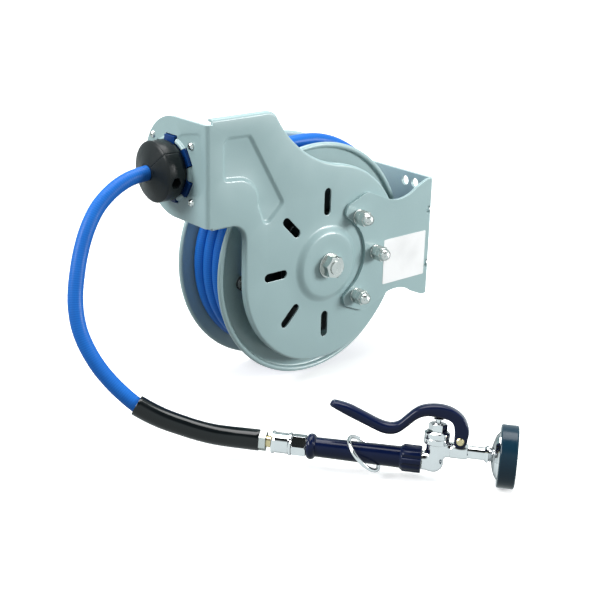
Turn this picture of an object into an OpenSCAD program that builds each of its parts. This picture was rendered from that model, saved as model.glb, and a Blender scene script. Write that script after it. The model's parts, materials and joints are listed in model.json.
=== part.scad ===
// Wall-mounted spring-rewind hose reel with a spray valve on the hose end.
// Frame: millimetres, +Z up. The origin is the middle of the base plate's wall face.
// The wall is the plane X = 0 and the reel reaches to -X. Y = 0 is the drum's mid-plane.

/* [Mounting bracket] */
// Distance from the wall face to the drum axis
hub_reach = 171; // [165:1:190]
// How far the drum axis lies below the middle of the base plate
hub_drop = 4; // [0:1:10]
// Height of the base plate
base_h = 150; // [144:1:170]
// Thickness of the bracket sheet
bracket_t = 4; // [3:0.5:5]
// Diameter of the wall bolt holes
base_hole_d = 12; // [8:0.5:13]
// Spacing of the bolt columns at the corners
bolt_outer = 72; // [66:1:80]
// Distance of the extra column from the near corner column
bolt_step = 17; // [15:1:20]
// Distance of the bolt rows from the top and bottom edges
bolt_edge = 12; // [10:1:16]
// Length of the stiffening return on the far side
return_l = 26; // [18:1:30]

/* [Frame plate] */
// Thickness of the frame sheet
plate_t = 3; // [2.5:0.25:4]
// Distance from the drum's mid-plane to the front face
front_y = 61; // [60:0.5:66]
// Radius of the disc
disc_r = 118.5; // [112:0.5:122]
// Depth of the turned-back lip, measured from the front face
lip_d = 8; // [6:0.5:10]
// Height of the pressed boss at the axle
boss_h = 5; // [4:0.5:7]
// Radius of the boss at its foot
boss_r = 45.5; // [43:0.5:47]
// Radius of the flat top of the boss
boss_top_r = 41; // [36:0.5:42]
// Width of the radial slots
slot_w = 10; // [8:0.5:12]
// Inner and outer radius of the slots
slot_r0 = 59; // [56:1:62]
// Outer radius of the slots
slot_r1 = 91.5; // [84:0.5:94]
// Top edge of the arm above the drum axis
arm_top = 189.5; // [184:0.5:194]
// Lower edge of the arm above the drum axis
arm_low = 69; // [66:0.5:71]
// Top of the guide flange above the drum axis
flange_top = 184; // [180:0.5:187]
// Bottom of the guide flange above the drum axis
flange_low = 72; // [71:0.5:75]
// Depth of the pressed recess in the arm
recess_d = 2.5; // [1.5:0.25:3]

/* [Drum] */
// Diameter of the drum flanges
flange_d = 280; // [274:1:284]
// Thickness of the flange sheet
flange_t = 1.6; // [1.2:0.1:2]
// Radius of the rolled bead round a flange
bead_r = 3.2; // [2.5:0.1:3.5]
// Outer radius of the drum barrel
barrel_r = 75; // [72:0.5:76]
// Sheet thickness of the barrel
barrel_t = 1.5; // [1:0.1:2]
// Radius of the fixed axle
axle_r = 12.5; // [11:0.25:13]
// Running clearance of the axle in its bushes
run_gap = 0.05; // [0.02:0.01:0.1]
// Wall of the plain bushes
bush_t = 3; // [2:0.25:3.5]

/* [Ratchet] */
// Outer radius of the notched ring
ratchet_r = 62; // [60:0.5:64]
// Number of notches
notches = 4; // [4]
// Width of a notch
notch_w = 40; // [38:1:44]
// Distance from the drum axis to the pawl pivot
pawl_reach = 109; // [108.5:0.5:109.5]
// Length of the pawl
pawl_l = 50; // [49.5:0.5:50.5]

/* [Hose] */
// Outer diameter of the hose
hose_d = 16.5; // [16:0.1:16.9]
// Pitch of the turns across the drum
lane_pitch = 17.2; // [17:0.1:18]
// Radius of the outer layer's centre line
wind_r = 116.75; // [115:0.25:118]
// Radius of the turn that lies one layer higher
lead_r = 137.3; // [136:0.1:138]

/* [Guide and ball stop] */
// Height of the hose guide above the drum axis
guide_h = 126.5; // [122:0.5:130]
// Sideways offset of the guide from the drum's mid-plane
guide_y = 3.5; // [0:0.5:5]
// Radius over the guide's tabs
tab_r = 36.5; // [34:0.5:38]
// Width of the guide's tabs
tab_w = 19; // [16:0.5:20]
// Radius of the guide's throat
throat_r = 14; // [13:0.5:16]
// Spacing of the guide screws, front to back
guide_sx = 72; // [70:1:76]
// Spacing of the guide screws, top to bottom
guide_sz = 62; // [58:1:66]
// Radius of the ball stop
ball_r = 33.5; // [32:0.5:36]
// Length of the ball stop
ball_l = 31; // [28:0.5:34]
// Distance of the ball stop's bolts from the hose
ball_bolt = 17.5; // [16:0.5:20]

/* [Spray valve] */
// Outer diameter of the grip at its rear
grip_d = 20.4; // [19.6:0.2:22]
// Length from the grip's rear bead to the end of its collar
grip_l = 113; // [110:1:118]
// Outer diameter of the ribbed collar
collar_d = 28; // [26:0.5:29]
// Distance from the rear bead to the valve's upright axis
body_s = 126.5; // [126:0.5:130]
// Height of the spray neck above the grip axis
neck_h = 13.5; // [13:0.5:14.5]
// Diameter of the spray neck
neck_d = 13; // [12:0.5:14]
// Distance from the rear bead to the bumper's rear face
bumper_s = 189.5; // [189:0.5:195]
// Diameter of the rubber bumper
bumper_d = 64; // [60:1:66]
// Length of the rubber bumper
bumper_l = 17.5; // [16:0.5:20]
// Width of the squeeze lever
lever_w = 16; // [14:0.5:18]
// Outer diameter of the hold-open ring
ring_d = 46.5; // [45:0.5:48]
// Wire diameter of the ring
ring_wire = 4.2; // [3.5:0.1:4.5]

/* [Hidden] */
$fn = 64;

// ---- shared values ----
gap = 0.3;                       // clearance between pieces that only lie near each other
hose_r = hose_d / 2;
lanes = 4;
web_in = lanes * lane_pitch / 2 + gap;      // mid-plane to the inner face of a flange
web_out = web_in + flange_t;
hub_pos = [-hub_reach, 0, -hub_drop];
back_y = front_y - plate_t;      // mid-plane to the frame plate's back face
leg_y = front_y + bracket_t;     // mid-plane to the bracket leg's outer face
base_half = base_h / 2;
grey = [0.62, 0.70, 0.71];
navy = [0.10, 0.13, 0.30];
hose_blue = [0.10, 0.38, 0.80];

// ---- helpers ----
// Points on an arc about c, from angle a0 to a1
function arc(c, r, a0, a1, n = 8) = [for (i = [0:n]) c + r * dir(a0 + (a1 - a0) * i / n)];
function dir(a) = [cos(a), sin(a)];
function unit(v) = v / norm(v);
function smooth(t) = let (k = min(1, max(0, t))) k * k * (3 - 2 * k);
function turn(a) = a > 180 ? a - 360 : a < -180 ? a + 360 : a;
// One rounded corner at q, between p and s
function corner(p, q, s, r, n) =
    r <= 0 ? [q] :
    let (
        u = unit(p - q), v = unit(s - q),
        half = acos(u * v) / 2,
        c = q + unit(u + v) * r / sin(half),
        f = q + u * r / tan(half) - c, g = q + v * r / tan(half) - c,
        a0 = atan2(f[1], f[0]), da = turn(atan2(g[1], g[0]) - a0)
    ) arc(c, r, a0, a0 + da, n);
// Closed outline from [x, y, corner radius] points
function rounded(pts, n = 6) = [for (i = [0:len(pts) - 1])
    let (
        k = len(pts),
        p = pts[(i + k - 1) % k], q = pts[i], s = pts[(i + 1) % k]
    ) each corner([p[0], p[1]], [q[0], q[1]], [s[0], s[1]], q[2], n)];

module at_hub() translate(hub_pos) children();
module rod_y(r, y0, y1) translate([0, y0, 0]) rotate([-90, 0, 0]) cylinder(h = y1 - y0, r = r);
module rod_x(r, x0, x1) translate([x0, 0, 0]) rotate([0, 90, 0]) cylinder(h = x1 - x0, r = r);
module hex_y(af, y0, y1) translate([0, y0, 0]) rotate([-90, 0, 0])
    cylinder(h = y1 - y0, d = af / cos(30), $fn = 6);
module hex_x(af, x0, x1) translate([x0, 0, 0]) rotate([0, 90, 0])
    cylinder(h = x1 - x0, d = af / cos(30), $fn = 6);
module tube_y(r0, r1, y0, y1) difference() {
    rod_y(r1, y0, y1);
    rod_y(r0, y0 - 1, y1 + 1);
}
// Profiles are [radius, distance along the axis]
module revolve_y(pts) rotate([-90, 0, 0]) rotate_extrude() polygon(pts);
module revolve_x(pts) rotate([0, 90, 0]) rotate_extrude() polygon(pts);
// Flat sheets: an [x, z] outline from y0 to y1, and a [y, z] outline from x0 to x1
module sheet_y(y0, y1) translate([0, y1, 0]) rotate([90, 0, 0]) linear_extrude(y1 - y0) children();
module sheet_x(x0, x1) translate([x0, 0, 0]) rotate([90, 0, 90]) linear_extrude(x1 - x0) children();
module slot2d(l, w) {
    square([l - w, w], center = true);
    for (s = [-1, 1]) translate([s * (l - w) / 2, 0]) circle(d = w);
}

// A tube of round section swept along a path; up is never parallel to the path
function tangent(p, i) = unit(p[min(i + 1, len(p) - 1)] - p[max(i - 1, 0)]);
function ring_at(p, i, r, sides, up) =
    let (t = tangent(p, i), u = unit(cross(up, t)), v = cross(t, u))
    [for (k = [0:sides - 1]) p[i] + r * (u * cos(360 * k / sides) + v * sin(360 * k / sides))];
module swept(p, r, sides, up, first = 0, last = -1) {
    i1 = last < 0 ? len(p) - 1 : last;
    n = i1 - first + 1;
    points = [for (i = [first:i1]) each ring_at(p, i, r, sides, up)];
    walls = [for (i = [0:n - 2], k = [0:sides - 1])
        let (a = i * sides + k, b = i * sides + (k + 1) % sides)
        each [[a, b, b + sides], [a, b + sides, a + sides]]];
    start_cap = [for (k = [1:sides - 2]) [0, k + 1, k]];
    end_base = (n - 1) * sides;
    end_cap = [for (k = [1:sides - 2]) [end_base, end_base + k, end_base + k + 1]];
    polyhedron(points = points, faces = concat(walls, start_cap, end_cap));
}
// A smooth curve through chosen points
function catmull(p0, p1, p2, p3, t) =
    0.5 * (2 * p1 + (p2 - p0) * t + (2 * p0 - 5 * p1 + 4 * p2 - p3) * t * t
        + (3 * p1 - p0 - 3 * p2 + p3) * t * t * t);
function curve(pts, steps) = let (k = len(pts)) concat(
    [for (i = [0:k - 2], j = [0:steps - 1])
        catmull(pts[max(i - 1, 0)], pts[i], pts[i + 1], pts[min(i + 2, k - 1)], j / steps)],
    [pts[k - 1]]);
function helix(r, pitch, turns, per_turn) = [for (i = [0:turns * per_turn])
    [r * cos(360 * i / per_turn), r * sin(360 * i / per_turn), pitch * i / per_turn]];

// ================= mounting bracket =================
hole_r = base_hole_d / 2;
bend_r = 5;
leg_inner_x = hub_reach - bend_r;
// Bolts that join the bracket's leg to the frame plate, about the drum axis
bolt_x = 45;
bolt_z = 49;
bolt_mid_x = 75;
bolt_mid_z = 2;
leg_bolts = [[bolt_x, bolt_mid_z + bolt_z], [bolt_mid_x, bolt_mid_z], [bolt_x, bolt_mid_z - bolt_z]];
m10_r = 5;
m10_hole = m10_r + 0.25;
m10_af = 16;

// Upper half of the leg's outline, as [x, z] about the drum axis and the leg's own middle
leg_upper = concat(
    arc([8, 0], 51, 0, 41, 5),
    arc([39, 53], 12.5, 195, 120, 5),
    arc([60, 57], 16.5, 112, 62, 5),
    arc([112, 107], 50, 243, 308, 8),
    [[160, base_half], [leg_inner_x, base_half]]);
function flipped(pts) = [for (i = [len(pts) - 1:-1:1]) [pts[i][0], -pts[i][1]]];
leg_outline = concat(leg_upper, flipped(leg_upper));

module leg_plate() difference() {
    sheet_y(-leg_y, -front_y) translate([0, hub_drop]) polygon(leg_outline);
    for (b = leg_bolts) translate([b[0], 0, b[1]]) rod_y(m10_hole, -leg_y - 1, -front_y + 1);
}
module bend(y_side, reach_x) {
    // A quarter ring joins the base plate to a leg on the side y_side (-1 or 1)
    translate([-bend_r, y_side * (leg_y - bend_r), -base_half]) intersection() {
        difference() {
            cylinder(h = base_h, r = bend_r);
            translate([0, 0, -1]) cylinder(h = base_h + 2, r = bend_r - bracket_t);
        }
        translate([0, y_side > 0 ? 0 : -bend_r - 1, -1]) cube([bend_r + 1, bend_r + 1, base_h + 2]);
    }
}
relief_r = 5;
relief_z = 35;
module mounting_bracket() color(grey) {
    flat_half = leg_y - bend_r;
    difference() {
        union() {
            at_hub() leg_plate();
            bend(-1);
            bend(1);
            translate([-bracket_t, -flat_half, -base_half]) cube([bracket_t, 2 * flat_half, base_h]);
            sheet_y(leg_y - bracket_t, leg_y) polygon(rounded([
                [-bend_r, -base_half, 0], [-return_l, -base_half + 12, 8],
                [-return_l, base_half - 12, 8], [-bend_r, base_half, 0]]));
        }
        for (y = [-bolt_outer / 2, bolt_step - bolt_outer / 2, bolt_outer / 2],
            z = [bolt_edge - base_half, base_half - bolt_edge])
            translate([0, y, z]) rod_x(hole_r, -bracket_t - 1, 1);
        // Round reliefs across the near bend
        for (z = [-relief_z, relief_z])
            translate([-relief_r, 0, z]) rod_y(relief_r, -leg_y - 1, -leg_y + bend_r);
    }
}

// A label without any print
label_w = 71;
label_h = 57;
label_t = 0.4;
module label_plate() color("white") at_hub()
    sheet_y(-leg_y - label_t, -leg_y) translate([90, hub_drop - 19 - label_h / 2])
        polygon(rounded([[0, 0, 1.5], [label_w, 0, 1.5], [label_w, label_h, 1.5], [0, label_h, 1.5]]));

// Bolts, washers and nuts of the leg
washer_t = 2;
washer_r = 8.7;
nut_t = 7;
head_t = 6.4;
cap_hex = 6.5;                   // hexagon of the cap nut
cap_t = 15;                      // whole height of the cap nut
module at_leg_bolts() at_hub() for (b = leg_bolts) translate([b[0], 0, b[1]]) children();
bolt_tip = leg_y + washer_t + nut_t + 5;
module bracket_bolts() color("silver") at_leg_bolts() {
    rod_y(m10_r, -bolt_tip, -back_y);
    hex_y(m10_af, -back_y, -back_y + head_t);
}
module bracket_washers() color("silver") at_leg_bolts()
    tube_y(m10_hole, washer_r, -leg_y - washer_t, -leg_y);
module bracket_nuts() color("silver") at_leg_bolts() difference() {
    hex_y(m10_af, -leg_y - washer_t - nut_t, -leg_y - washer_t);
    rod_y(m10_r + run_gap, -leg_y - washer_t - nut_t - 1, -leg_y);
}
module bracket_cap_nuts() color("silver") at_leg_bolts() {
    y0 = -leg_y - washer_t - nut_t;
    dome_r = m10_af / 2 - 0.5;
    difference() {
        union() {
            hex_y(m10_af, y0 - cap_hex, y0);
            revolve_y(concat([[0, y0 - cap_hex], [dome_r, y0 - cap_hex]],
                [for (a = [0:15:90]) [dome_r * cos(a), y0 - cap_hex - (cap_t - cap_hex) * sin(a)]]));
        }
        rod_y(m10_r + run_gap, y0 - 5.5, y0 + 1);
    }
}

// ================= frame plate =================
// The outline is drawn about the drum axis; g shrinks it evenly
blend_r = 136;
blend_a = 80.7;
arm_corner = 14;
inner_corner = 19;
bend_f = 5;                                  // outer radius of the bend to the guide flange
flange_x = -hub_reach;                       // outer face of the guide flange, about the drum axis
arm_end = flange_x + bend_f + 2.5;           // the lip stops here, short of the bend
blend_c = (disc_r + blend_r) * dir(blend_a);
corner_c = [blend_c[0] - sqrt(pow(blend_r + arm_corner, 2) - pow(blend_c[1] - arm_top + arm_corner, 2)),
    arm_top - arm_corner];
blend_end = atan2(corner_c[1] - blend_c[1], corner_c[0] - blend_c[0]) + 360;
function frame_outline(g, x_end) = concat(
    [[x_end, arm_low + g]],
    arc([-disc_r - inner_corner, arm_low - inner_corner], inner_corner + g, 90, 0, 6),
    arc([0, 0], disc_r - g, 180, 360 + blend_a, 48),
    arc(blend_c, blend_r + g, 180 + blend_a, blend_end, 12),
    arc(corner_c, arm_corner - g, blend_end - 180, 90, 6),
    [[x_end, arm_top - g]]);
// Pressed recess in the arm
recess_x = flange_x + 23;
recess_z = arm_top - 22.5;
recess_step = arm_low + 53.5;
recess_outline = concat(
    rounded([[recess_x, recess_z, 5], [recess_x + 34.5, recess_z - 0.5, 4], [-66, 85, 4], [-91, 62, 5],
        [-101, 84, 0]]),
    arc([recess_x + 18, recess_step - 30.5], 29, -10, 90, 8),
    [[recess_x + 5, recess_step]], arc([recess_x + 5, recess_step + 5], 5, 260, 180, 3));

module lip() difference() {
    sheet_y(-back_y - 0.01, -front_y + lip_d) polygon(frame_outline(0, arm_end));
    sheet_y(-back_y - 1, -front_y + lip_d + 1) polygon(frame_outline(plate_t, flange_x - 1));
}
module slots() for (i = [0:7]) rotate([0, 45 * i, 0])
    sheet_y(-front_y - 1, -back_y + 1)
        translate([(slot_r0 + slot_r1) / 2, 0]) slot2d(slot_r1 - slot_r0, slot_w);
axle_end_r = 8;
module axle_boss() revolve_y([
    [axle_end_r + 0.25, -front_y - boss_h], [boss_top_r, -front_y - boss_h], [boss_r, -front_y],
    [boss_r, -back_y], [boss_top_r, -back_y - boss_h], [axle_end_r + 0.25, -back_y - boss_h]]);

// Flange that carries the hose guide
flange_mid_y = -1;
notch_gap = 1;
flange_half = (flange_top - flange_low) / 2;
collar_w = 3;
module guide_flange() {
    y0 = -front_y + bend_f;
    difference() {
        union() {
            sheet_x(flange_x, flange_x + plate_t) union() {
                translate([y0, flange_low]) square([flange_mid_y - y0, 2 * flange_half]);
                translate([flange_mid_y, flange_low + flange_half]) intersection() {
                    circle(r = flange_half);
                    translate([-0.01, -flange_half - 1]) square([flange_half + 2, 2 * flange_half + 2]);
                }
            }
            // Rolled collar round the guide opening
            translate([0, guide_y, guide_h]) rod_x(tab_r - 1, flange_x - collar_w, flange_x + 0.01);
        }
        translate([0, guide_y, guide_h]) {
            rod_x(tab_r - 5, flange_x - collar_w - 1, flange_x + plate_t + 1);
            for (a = [0:60:300]) rotate([30 + a, 0, 0])
                translate([flange_x - collar_w - 1, 0, -tab_w / 2 - notch_gap])
                cube([plate_t + collar_w + 2, tab_r + notch_gap, tab_w + 2 * notch_gap]);
            for (y = [-guide_sx / 2, guide_sx / 2], z = [-guide_sz / 2, guide_sz / 2])
                translate([0, y, z]) rod_x(2.2, flange_x - 1, flange_x + plate_t + 1);
        }
    }
}
module frame_bend() translate([flange_x + bend_f, -front_y + bend_f, flange_low]) intersection() {
    difference() {
        cylinder(h = 2 * flange_half, r = bend_f);
        translate([0, 0, -1]) cylinder(h = arm_top, r = bend_f - plate_t);
    }
    translate([-bend_f - 1, -bend_f - 1, -1]) cube([bend_f + 1, bend_f + 1, arm_top]);
}
module frame_plate() color(grey) at_hub() {
    difference() {
        union() {
            sheet_y(-front_y, -back_y) {
                polygon(frame_outline(0, arm_end));
                translate([flange_x + bend_f, flange_low]) square([arm_end - flange_x, 2 * flange_half]);
            }
            sheet_y(-back_y - 0.5, -back_y + recess_d) polygon(recess_outline);
            lip();
        }
        sheet_y(-front_y - 1, -front_y + recess_d) polygon(recess_outline);
        rod_y(boss_r, -front_y - 1, -back_y + 1);
        slots();
        for (b = leg_bolts) translate([b[0], 0, b[1]]) rod_y(m10_hole, -front_y - 1, -back_y + 1);
    }
    axle_boss();
    frame_bend();
    guide_flange();
}

// ================= axle =================
axle_far = 62;                    // far end of the axle
axle_nut_t = 11;
axle_washer_t = 2;
inlet_r = 7.35;                   // tapping bore of the 3/8 inch taper pipe thread
inlet_l = 16;
channel_r = 5;
seat_y = -back_y - boss_h;        // the shoulder seats on the back of the boss
module axle() color("silver") at_hub() difference() {
    union() {
        rod_y(axle_end_r, -front_y - boss_h - axle_washer_t - axle_nut_t - 1.5, seat_y);
        rod_y(axle_r, seat_y, axle_far);
        rod_y(axle_r + 5, ratchet_y0 - gap - 3, ratchet_y0 - gap);
    }
    rod_y(channel_r, port_y - 6, axle_far + 1);
    rod_y(inlet_r, axle_far - inlet_l, axle_far + 1);
    translate([0, port_y, 0]) rod_x(3, -axle_r - 1, axle_r + 1);
    tube_y(axle_r - 1, axle_r + 1, clip_y, clip_y + 1.3);
}
module axle_washer() color("silver") at_hub()
    tube_y(axle_end_r + 0.25, 15, -front_y - boss_h - axle_washer_t, -front_y - boss_h);
module axle_nut() color("silver") at_hub() difference() {
    y1 = -front_y - boss_h - axle_washer_t;
    y0 = y1 - axle_nut_t;
    intersection() {
        rotate([0, 12, 0]) hex_y(24, y0, y1);
        revolve_y([[0, y0], [12.2, y0], [14, y0 + 1.1], [14, y1], [0, y1]]);
    }
    rod_y(axle_end_r + run_gap, y0 - 1, y1 + 1);
}
housing_out = 12;                 // how far the rotary joint stands out past the far flange
clip_y = web_out + housing_out + gap;
module axle_ring() color("silver") at_hub() difference() {
    tube_y(axle_r - 0.9, axle_r + 4, clip_y + 0.1, clip_y + 1.2);
    translate([0, clip_y, axle_r]) cube([5, 4, 14], center = true);
}

// ================= drum =================
housing_r = 24;
port_y = 24;
hub_near_y = -web_out - 6;
module flange_disc(side, hole_r) {
    // Dished web, rolled bead and centre hole; side is -1 for the near flange
    y_in = side * web_in;
    y_out = side * web_out;
    bead_c = flange_d / 2 - bead_r;
    revolve_y(concat([[hole_r, y_in], [bead_c, y_in]],
        [for (a = [-90:15:150]) [bead_c + bead_r * cos(a), y_in + side * (bead_r + bead_r * sin(a))]],
        [[bead_c - bead_r - 0.4, y_out + side * 0.4], [bead_c - bead_r - 1.5, y_out], [hole_r, y_out]]));
}
drum_bolt_r = barrel_r - 9;
module at_drum_bolts() for (i = [0:5]) rotate([0, 60 * i + 30, 0]) translate([drum_bolt_r, 0, 0]) children();
module near_flange() color(grey) at_hub() {
    difference() {
        flange_disc(-1, axle_r + bush_t + 0.01);
        at_drum_bolts() rod_y(3.2, -web_out - 1, -web_in + 1);
    }
    // Hub ring that carries the near bush
    tube_y(axle_r + bush_t, axle_r + bush_t + 7, hub_near_y, -web_in + 8);
}
module far_flange() color(grey) at_hub() difference() {
    flange_disc(1, housing_r + gap);
    at_drum_bolts() rod_y(3.2, web_in - 1, web_out + 1);
}
module drum_barrel() color(grey) at_hub() difference() {
    union() {
        tube_y(barrel_r - barrel_t, barrel_r, -web_in, web_in);
        // Turned-in rims that the flanges bolt to
        tube_y(barrel_r - 14, barrel_r - barrel_t + 0.01, web_in - 2, web_in);
    }
    at_drum_bolts() rod_y(3.2, web_in - 3, web_in + 1);
    rotate([0, elbow_a, 0]) translate([0, port_y, 0]) rod_x(elbow_r + gap, barrel_r - 4, barrel_r + 1);
}
drum_nut_t = 4.5;
module drum_bolts() color("silver") at_hub() at_drum_bolts() for (s = [-1, 1]) {
    inner = s > 0 ? web_in - 2 : web_in - case_t;
    y0 = min(s * (inner - drum_nut_t), s * (web_out + 4));
    rod_y(3, y0, max(s * (inner - drum_nut_t), s * (web_out + 4)));
    hex_y(10, min(s * web_out, s * (web_out + 4)), max(s * web_out, s * (web_out + 4)));
    hex_y(10, min(s * inner, s * (inner - drum_nut_t)), max(s * inner, s * (inner - drum_nut_t)));
}
// Spring case: a shallow can that the near flange closes
case_t = 1.5;
case_r = drum_bolt_r - 11;
case_y = -6;
case_rim = barrel_r - barrel_t - gap;
module spring_case() color([0.45, 0.5, 0.52]) at_hub() difference() {
    union() {
        tube_y(case_r, case_r + case_t, -web_in, case_y);
        tube_y(axle_r + 3, case_r + case_t, case_y - case_t, case_y);
        tube_y(case_r, case_rim, -web_in, -web_in + case_t);
    }
    at_drum_bolts() rod_y(3.2, -web_in - 1, -web_in + case_t + 1);
}
// Flat spiral spring: the inner coil sits round the axle, the outer end lies at the case wall
spiral_turns = 9;
spiral_r0 = axle_r + gap;
spiral_r1 = case_r - gap;
strip_t = 1.2;
spiral_steps = 18;
spiral_n = spiral_turns * spiral_steps;
function spiral(off) = [for (i = [0:spiral_n])
    (spiral_r0 + (spiral_r1 - spiral_r0 - strip_t) * i / spiral_n + off) * dir(360 / spiral_steps * i)];
function reversed(v) = [for (i = [len(v) - 1:-1:0]) v[i]];
module main_spring() color([0.25, 0.27, 0.3]) at_hub()
    sheet_y(-web_in + 10, case_y - case_t - 1) polygon(concat(spiral(0), reversed(spiral(strip_t))));
module near_bush() color([0.75, 0.6, 0.35]) at_hub()
    tube_y(axle_r + run_gap, axle_r + bush_t, hub_near_y, -web_in + 8);
bush_far_y0 = port_y - 14;
bush_far_l = 8;
module far_bush() color([0.75, 0.6, 0.35]) at_hub()
    tube_y(axle_r + run_gap, axle_r + bush_t, bush_far_y0 - bush_far_l, bush_far_y0);
// Rotary joint: the housing turns with the drum round the axle's cross port
seal_r = 1.75;
seal_off = 8;
housing_rim = 9;
module swivel_housing() color([0.8, 0.66, 0.35]) at_hub() difference() {
    union() {
        rod_y(housing_r, bush_far_y0 - bush_far_l, web_out + housing_out);
        rod_y(housing_r + housing_rim, web_in - 4, web_in - gap);
    }
    rod_y(axle_r + run_gap, -50, 80);
    rod_y(axle_r + bush_t, bush_far_y0 - bush_far_l - 1, bush_far_y0);
    tube_y(axle_r, axle_r + 3, port_y - 3, port_y + 3);
    for (s = [-1, 1]) translate([0, port_y + s * seal_off, 0])
        rotate([90, 0, 0]) rotate_extrude() translate([axle_r, -seal_r]) square([2 * seal_r, 2 * seal_r]);
    rotate([0, elbow_a, 0]) translate([0, port_y, 0]) rod_x(elbow_r, housing_r - 6, housing_r + 20);
    rotate([0, elbow_a, 0]) translate([0, port_y, 0]) rod_x(3.5, 0, housing_r);
}
module swivel_seals() color([0.12, 0.12, 0.12]) at_hub() for (s = [-1, 1])
    translate([0, port_y + s * seal_off, 0]) rotate([90, 0, 0]) rotate_extrude()
        translate([axle_r + run_gap + seal_r - 0.05, 0]) circle(r = seal_r - 0.1, $fn = 24);
// Outlet from the rotary joint to the inner end of the hose
elbow_a = 120;
elbow_r = 8;
module outlet_elbow() color([0.8, 0.66, 0.35])
    at_hub() rotate([0, elbow_a, 0]) translate([0, port_y, 0]) difference() {
    union() {
        rod_x(elbow_r - 0.02, housing_r - 6, barrel_r - 0.5);
        hex_x(19, housing_r + 10, housing_r + 20);
    }
    rod_x(3.5, housing_r - 7, barrel_r + 1);
}

// Ratchet ring on the near flange, in the plane of the pawl
ratchet_t = 4;
ratchet_y0 = -web_out - 6 - ratchet_t;
pawl_y0 = ratchet_y0;
pawl_pin_r = 4;
pawl_a = 183;
pawl_pivot = [pawl_reach * cos(pawl_a), 0, pawl_reach * sin(pawl_a)];
notch_depth = 7;
notch_mid = pawl_a;
module ratchet_ring() color([0.55, 0.58, 0.6]) at_hub() difference() {
    union() {
        tube_y(axle_r + bush_t + 7, ratchet_r, ratchet_y0, ratchet_y0 + ratchet_t);
        for (i = [0:5]) rotate([0, 60 * i, 0]) translate([38, 0, 0]) rod_y(5, ratchet_y0, -web_out);
    }
    for (i = [0:notches - 1]) rotate([0, -notch_mid + 360 / notches * i, 0])
        translate([ratchet_r - notch_depth, ratchet_y0 - 1, -notch_w / 2]) cube([20, ratchet_t + 2, notch_w]);
}
// Pawl at rest, laid over to one side so that the ring turns freely
pawl_rest = 20;
pawl_tip = 3;
module pawl_shape() {
    circle(r = 9);
    translate([pawl_l - pawl_tip, 0]) circle(r = pawl_tip);
    polygon([[0, 9], [0, -9], [pawl_l - pawl_tip, -pawl_tip], [pawl_l - pawl_tip, pawl_tip]]);
}
module pawl() color([0.35, 0.37, 0.4]) at_hub() translate(pawl_pivot)
    rotate([0, -(pawl_a - 180) - pawl_rest, 0]) difference() {
        sheet_y(pawl_y0, pawl_y0 + ratchet_t) pawl_shape();
        rod_y(pawl_pin_r + run_gap, pawl_y0 - 1, pawl_y0 + ratchet_t + 1);
    }
module pawl_pin() color("silver") at_hub() translate(pawl_pivot) {
    rod_y(pawl_pin_r, -back_y, pawl_y0 + ratchet_t + 2.2);
    tube_y(pawl_pin_r - 0.01, 8, pawl_y0 + ratchet_t + gap, pawl_y0 + ratchet_t + 2.2);
    tube_y(pawl_pin_r - 0.01, 8, pawl_y0 - 1.5 - gap, pawl_y0 - gap);
}
pawl_wire = 0.6;
pawl_coil_l = pawl_y0 - 1.5 - gap + back_y - 2 * pawl_wire - 0.8;
module pawl_spring() color([0.3, 0.32, 0.35]) at_hub() translate(pawl_pivot)
    translate([0, -back_y + pawl_wire + 0.4, 0]) rotate([-90, 0, 0])
        swept(helix(pawl_pin_r + pawl_wire + gap, pawl_coil_l / 4, 4, 12), pawl_wire, 6, [0, 0, 1]);

// ================= wound hose =================
// Place on the drum from a winding angle a, a radius and a lane position
function on_drum(a, r, y) = [r * cos(a), y, r * sin(a)];
cross_from = 300;                 // a turn stays in its lane up to this angle
cross_span = 100;                 // and moves over to the next lane in this much more
lane_y0 = (lanes - 1) / 2 * lane_pitch;
function lane_at(a) = let (k = floor((a - cross_from) / 360), f = (a - cross_from - 360 * k) / cross_span)
    lane_y0 - lane_pitch * (k + smooth(f));
wind_a0 = 60;
wind_a1 = cross_from + 360 * (lanes - 1);
turn_steps = 24;
wind_steps = (wind_a1 - wind_a0) / 360 * turn_steps;
function along_drum(a) = [-sin(a), 0, cos(a)];
wind_mid = [for (i = [0:wind_steps]) let (a = wind_a0 + 360 / turn_steps * i) on_drum(a, wind_r, lane_at(a))];
wind_path = concat([wind_mid[0] - hose_d * along_drum(wind_a0)], wind_mid,
    [wind_mid[wind_steps] + hose_d * along_drum(wind_a1)]);
// Least gap between the turns, measured on the centre line's points
function ray_gap(p, i, j) = norm(p[i] - p[j]) - hose_d;
wind_gap = min([for (i = [0:len(wind_path) - 1], j = [i + 12:1:len(wind_path) - 1])
    ray_gap(wind_path, i, j)]);
echo(str("least gap between the turns of hose_winding: ", wind_gap, " mm"));
module hose_winding() color(hose_blue) at_hub() swept(wind_path, hose_r, 6, [0, 1, 0]);
// Inner layers as one plain solid, with the step where the outer layer begins
core_out = (wind_r - hose_r) * cos(180 / turn_steps) - gap;
module hose_core() color([0.08, 0.3, 0.66]) at_hub() {
    tube_y(barrel_r + gap, core_out, -web_in + gap, web_in - gap);
    // The layer below climbs to the flat face where the outer layer starts
    rotate([0, -wind_a0, 0]) translate([wind_r - climb_r, lane_at(wind_a0), -hose_d])
        rotate([90, 0, 0]) rotate([0, 0, -climb_a]) rotate_extrude(angle = climb_a)
            translate([climb_r, 0]) circle(r = hose_r - 0.02);
}
climb_r = 55;
climb_a = 62;
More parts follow.
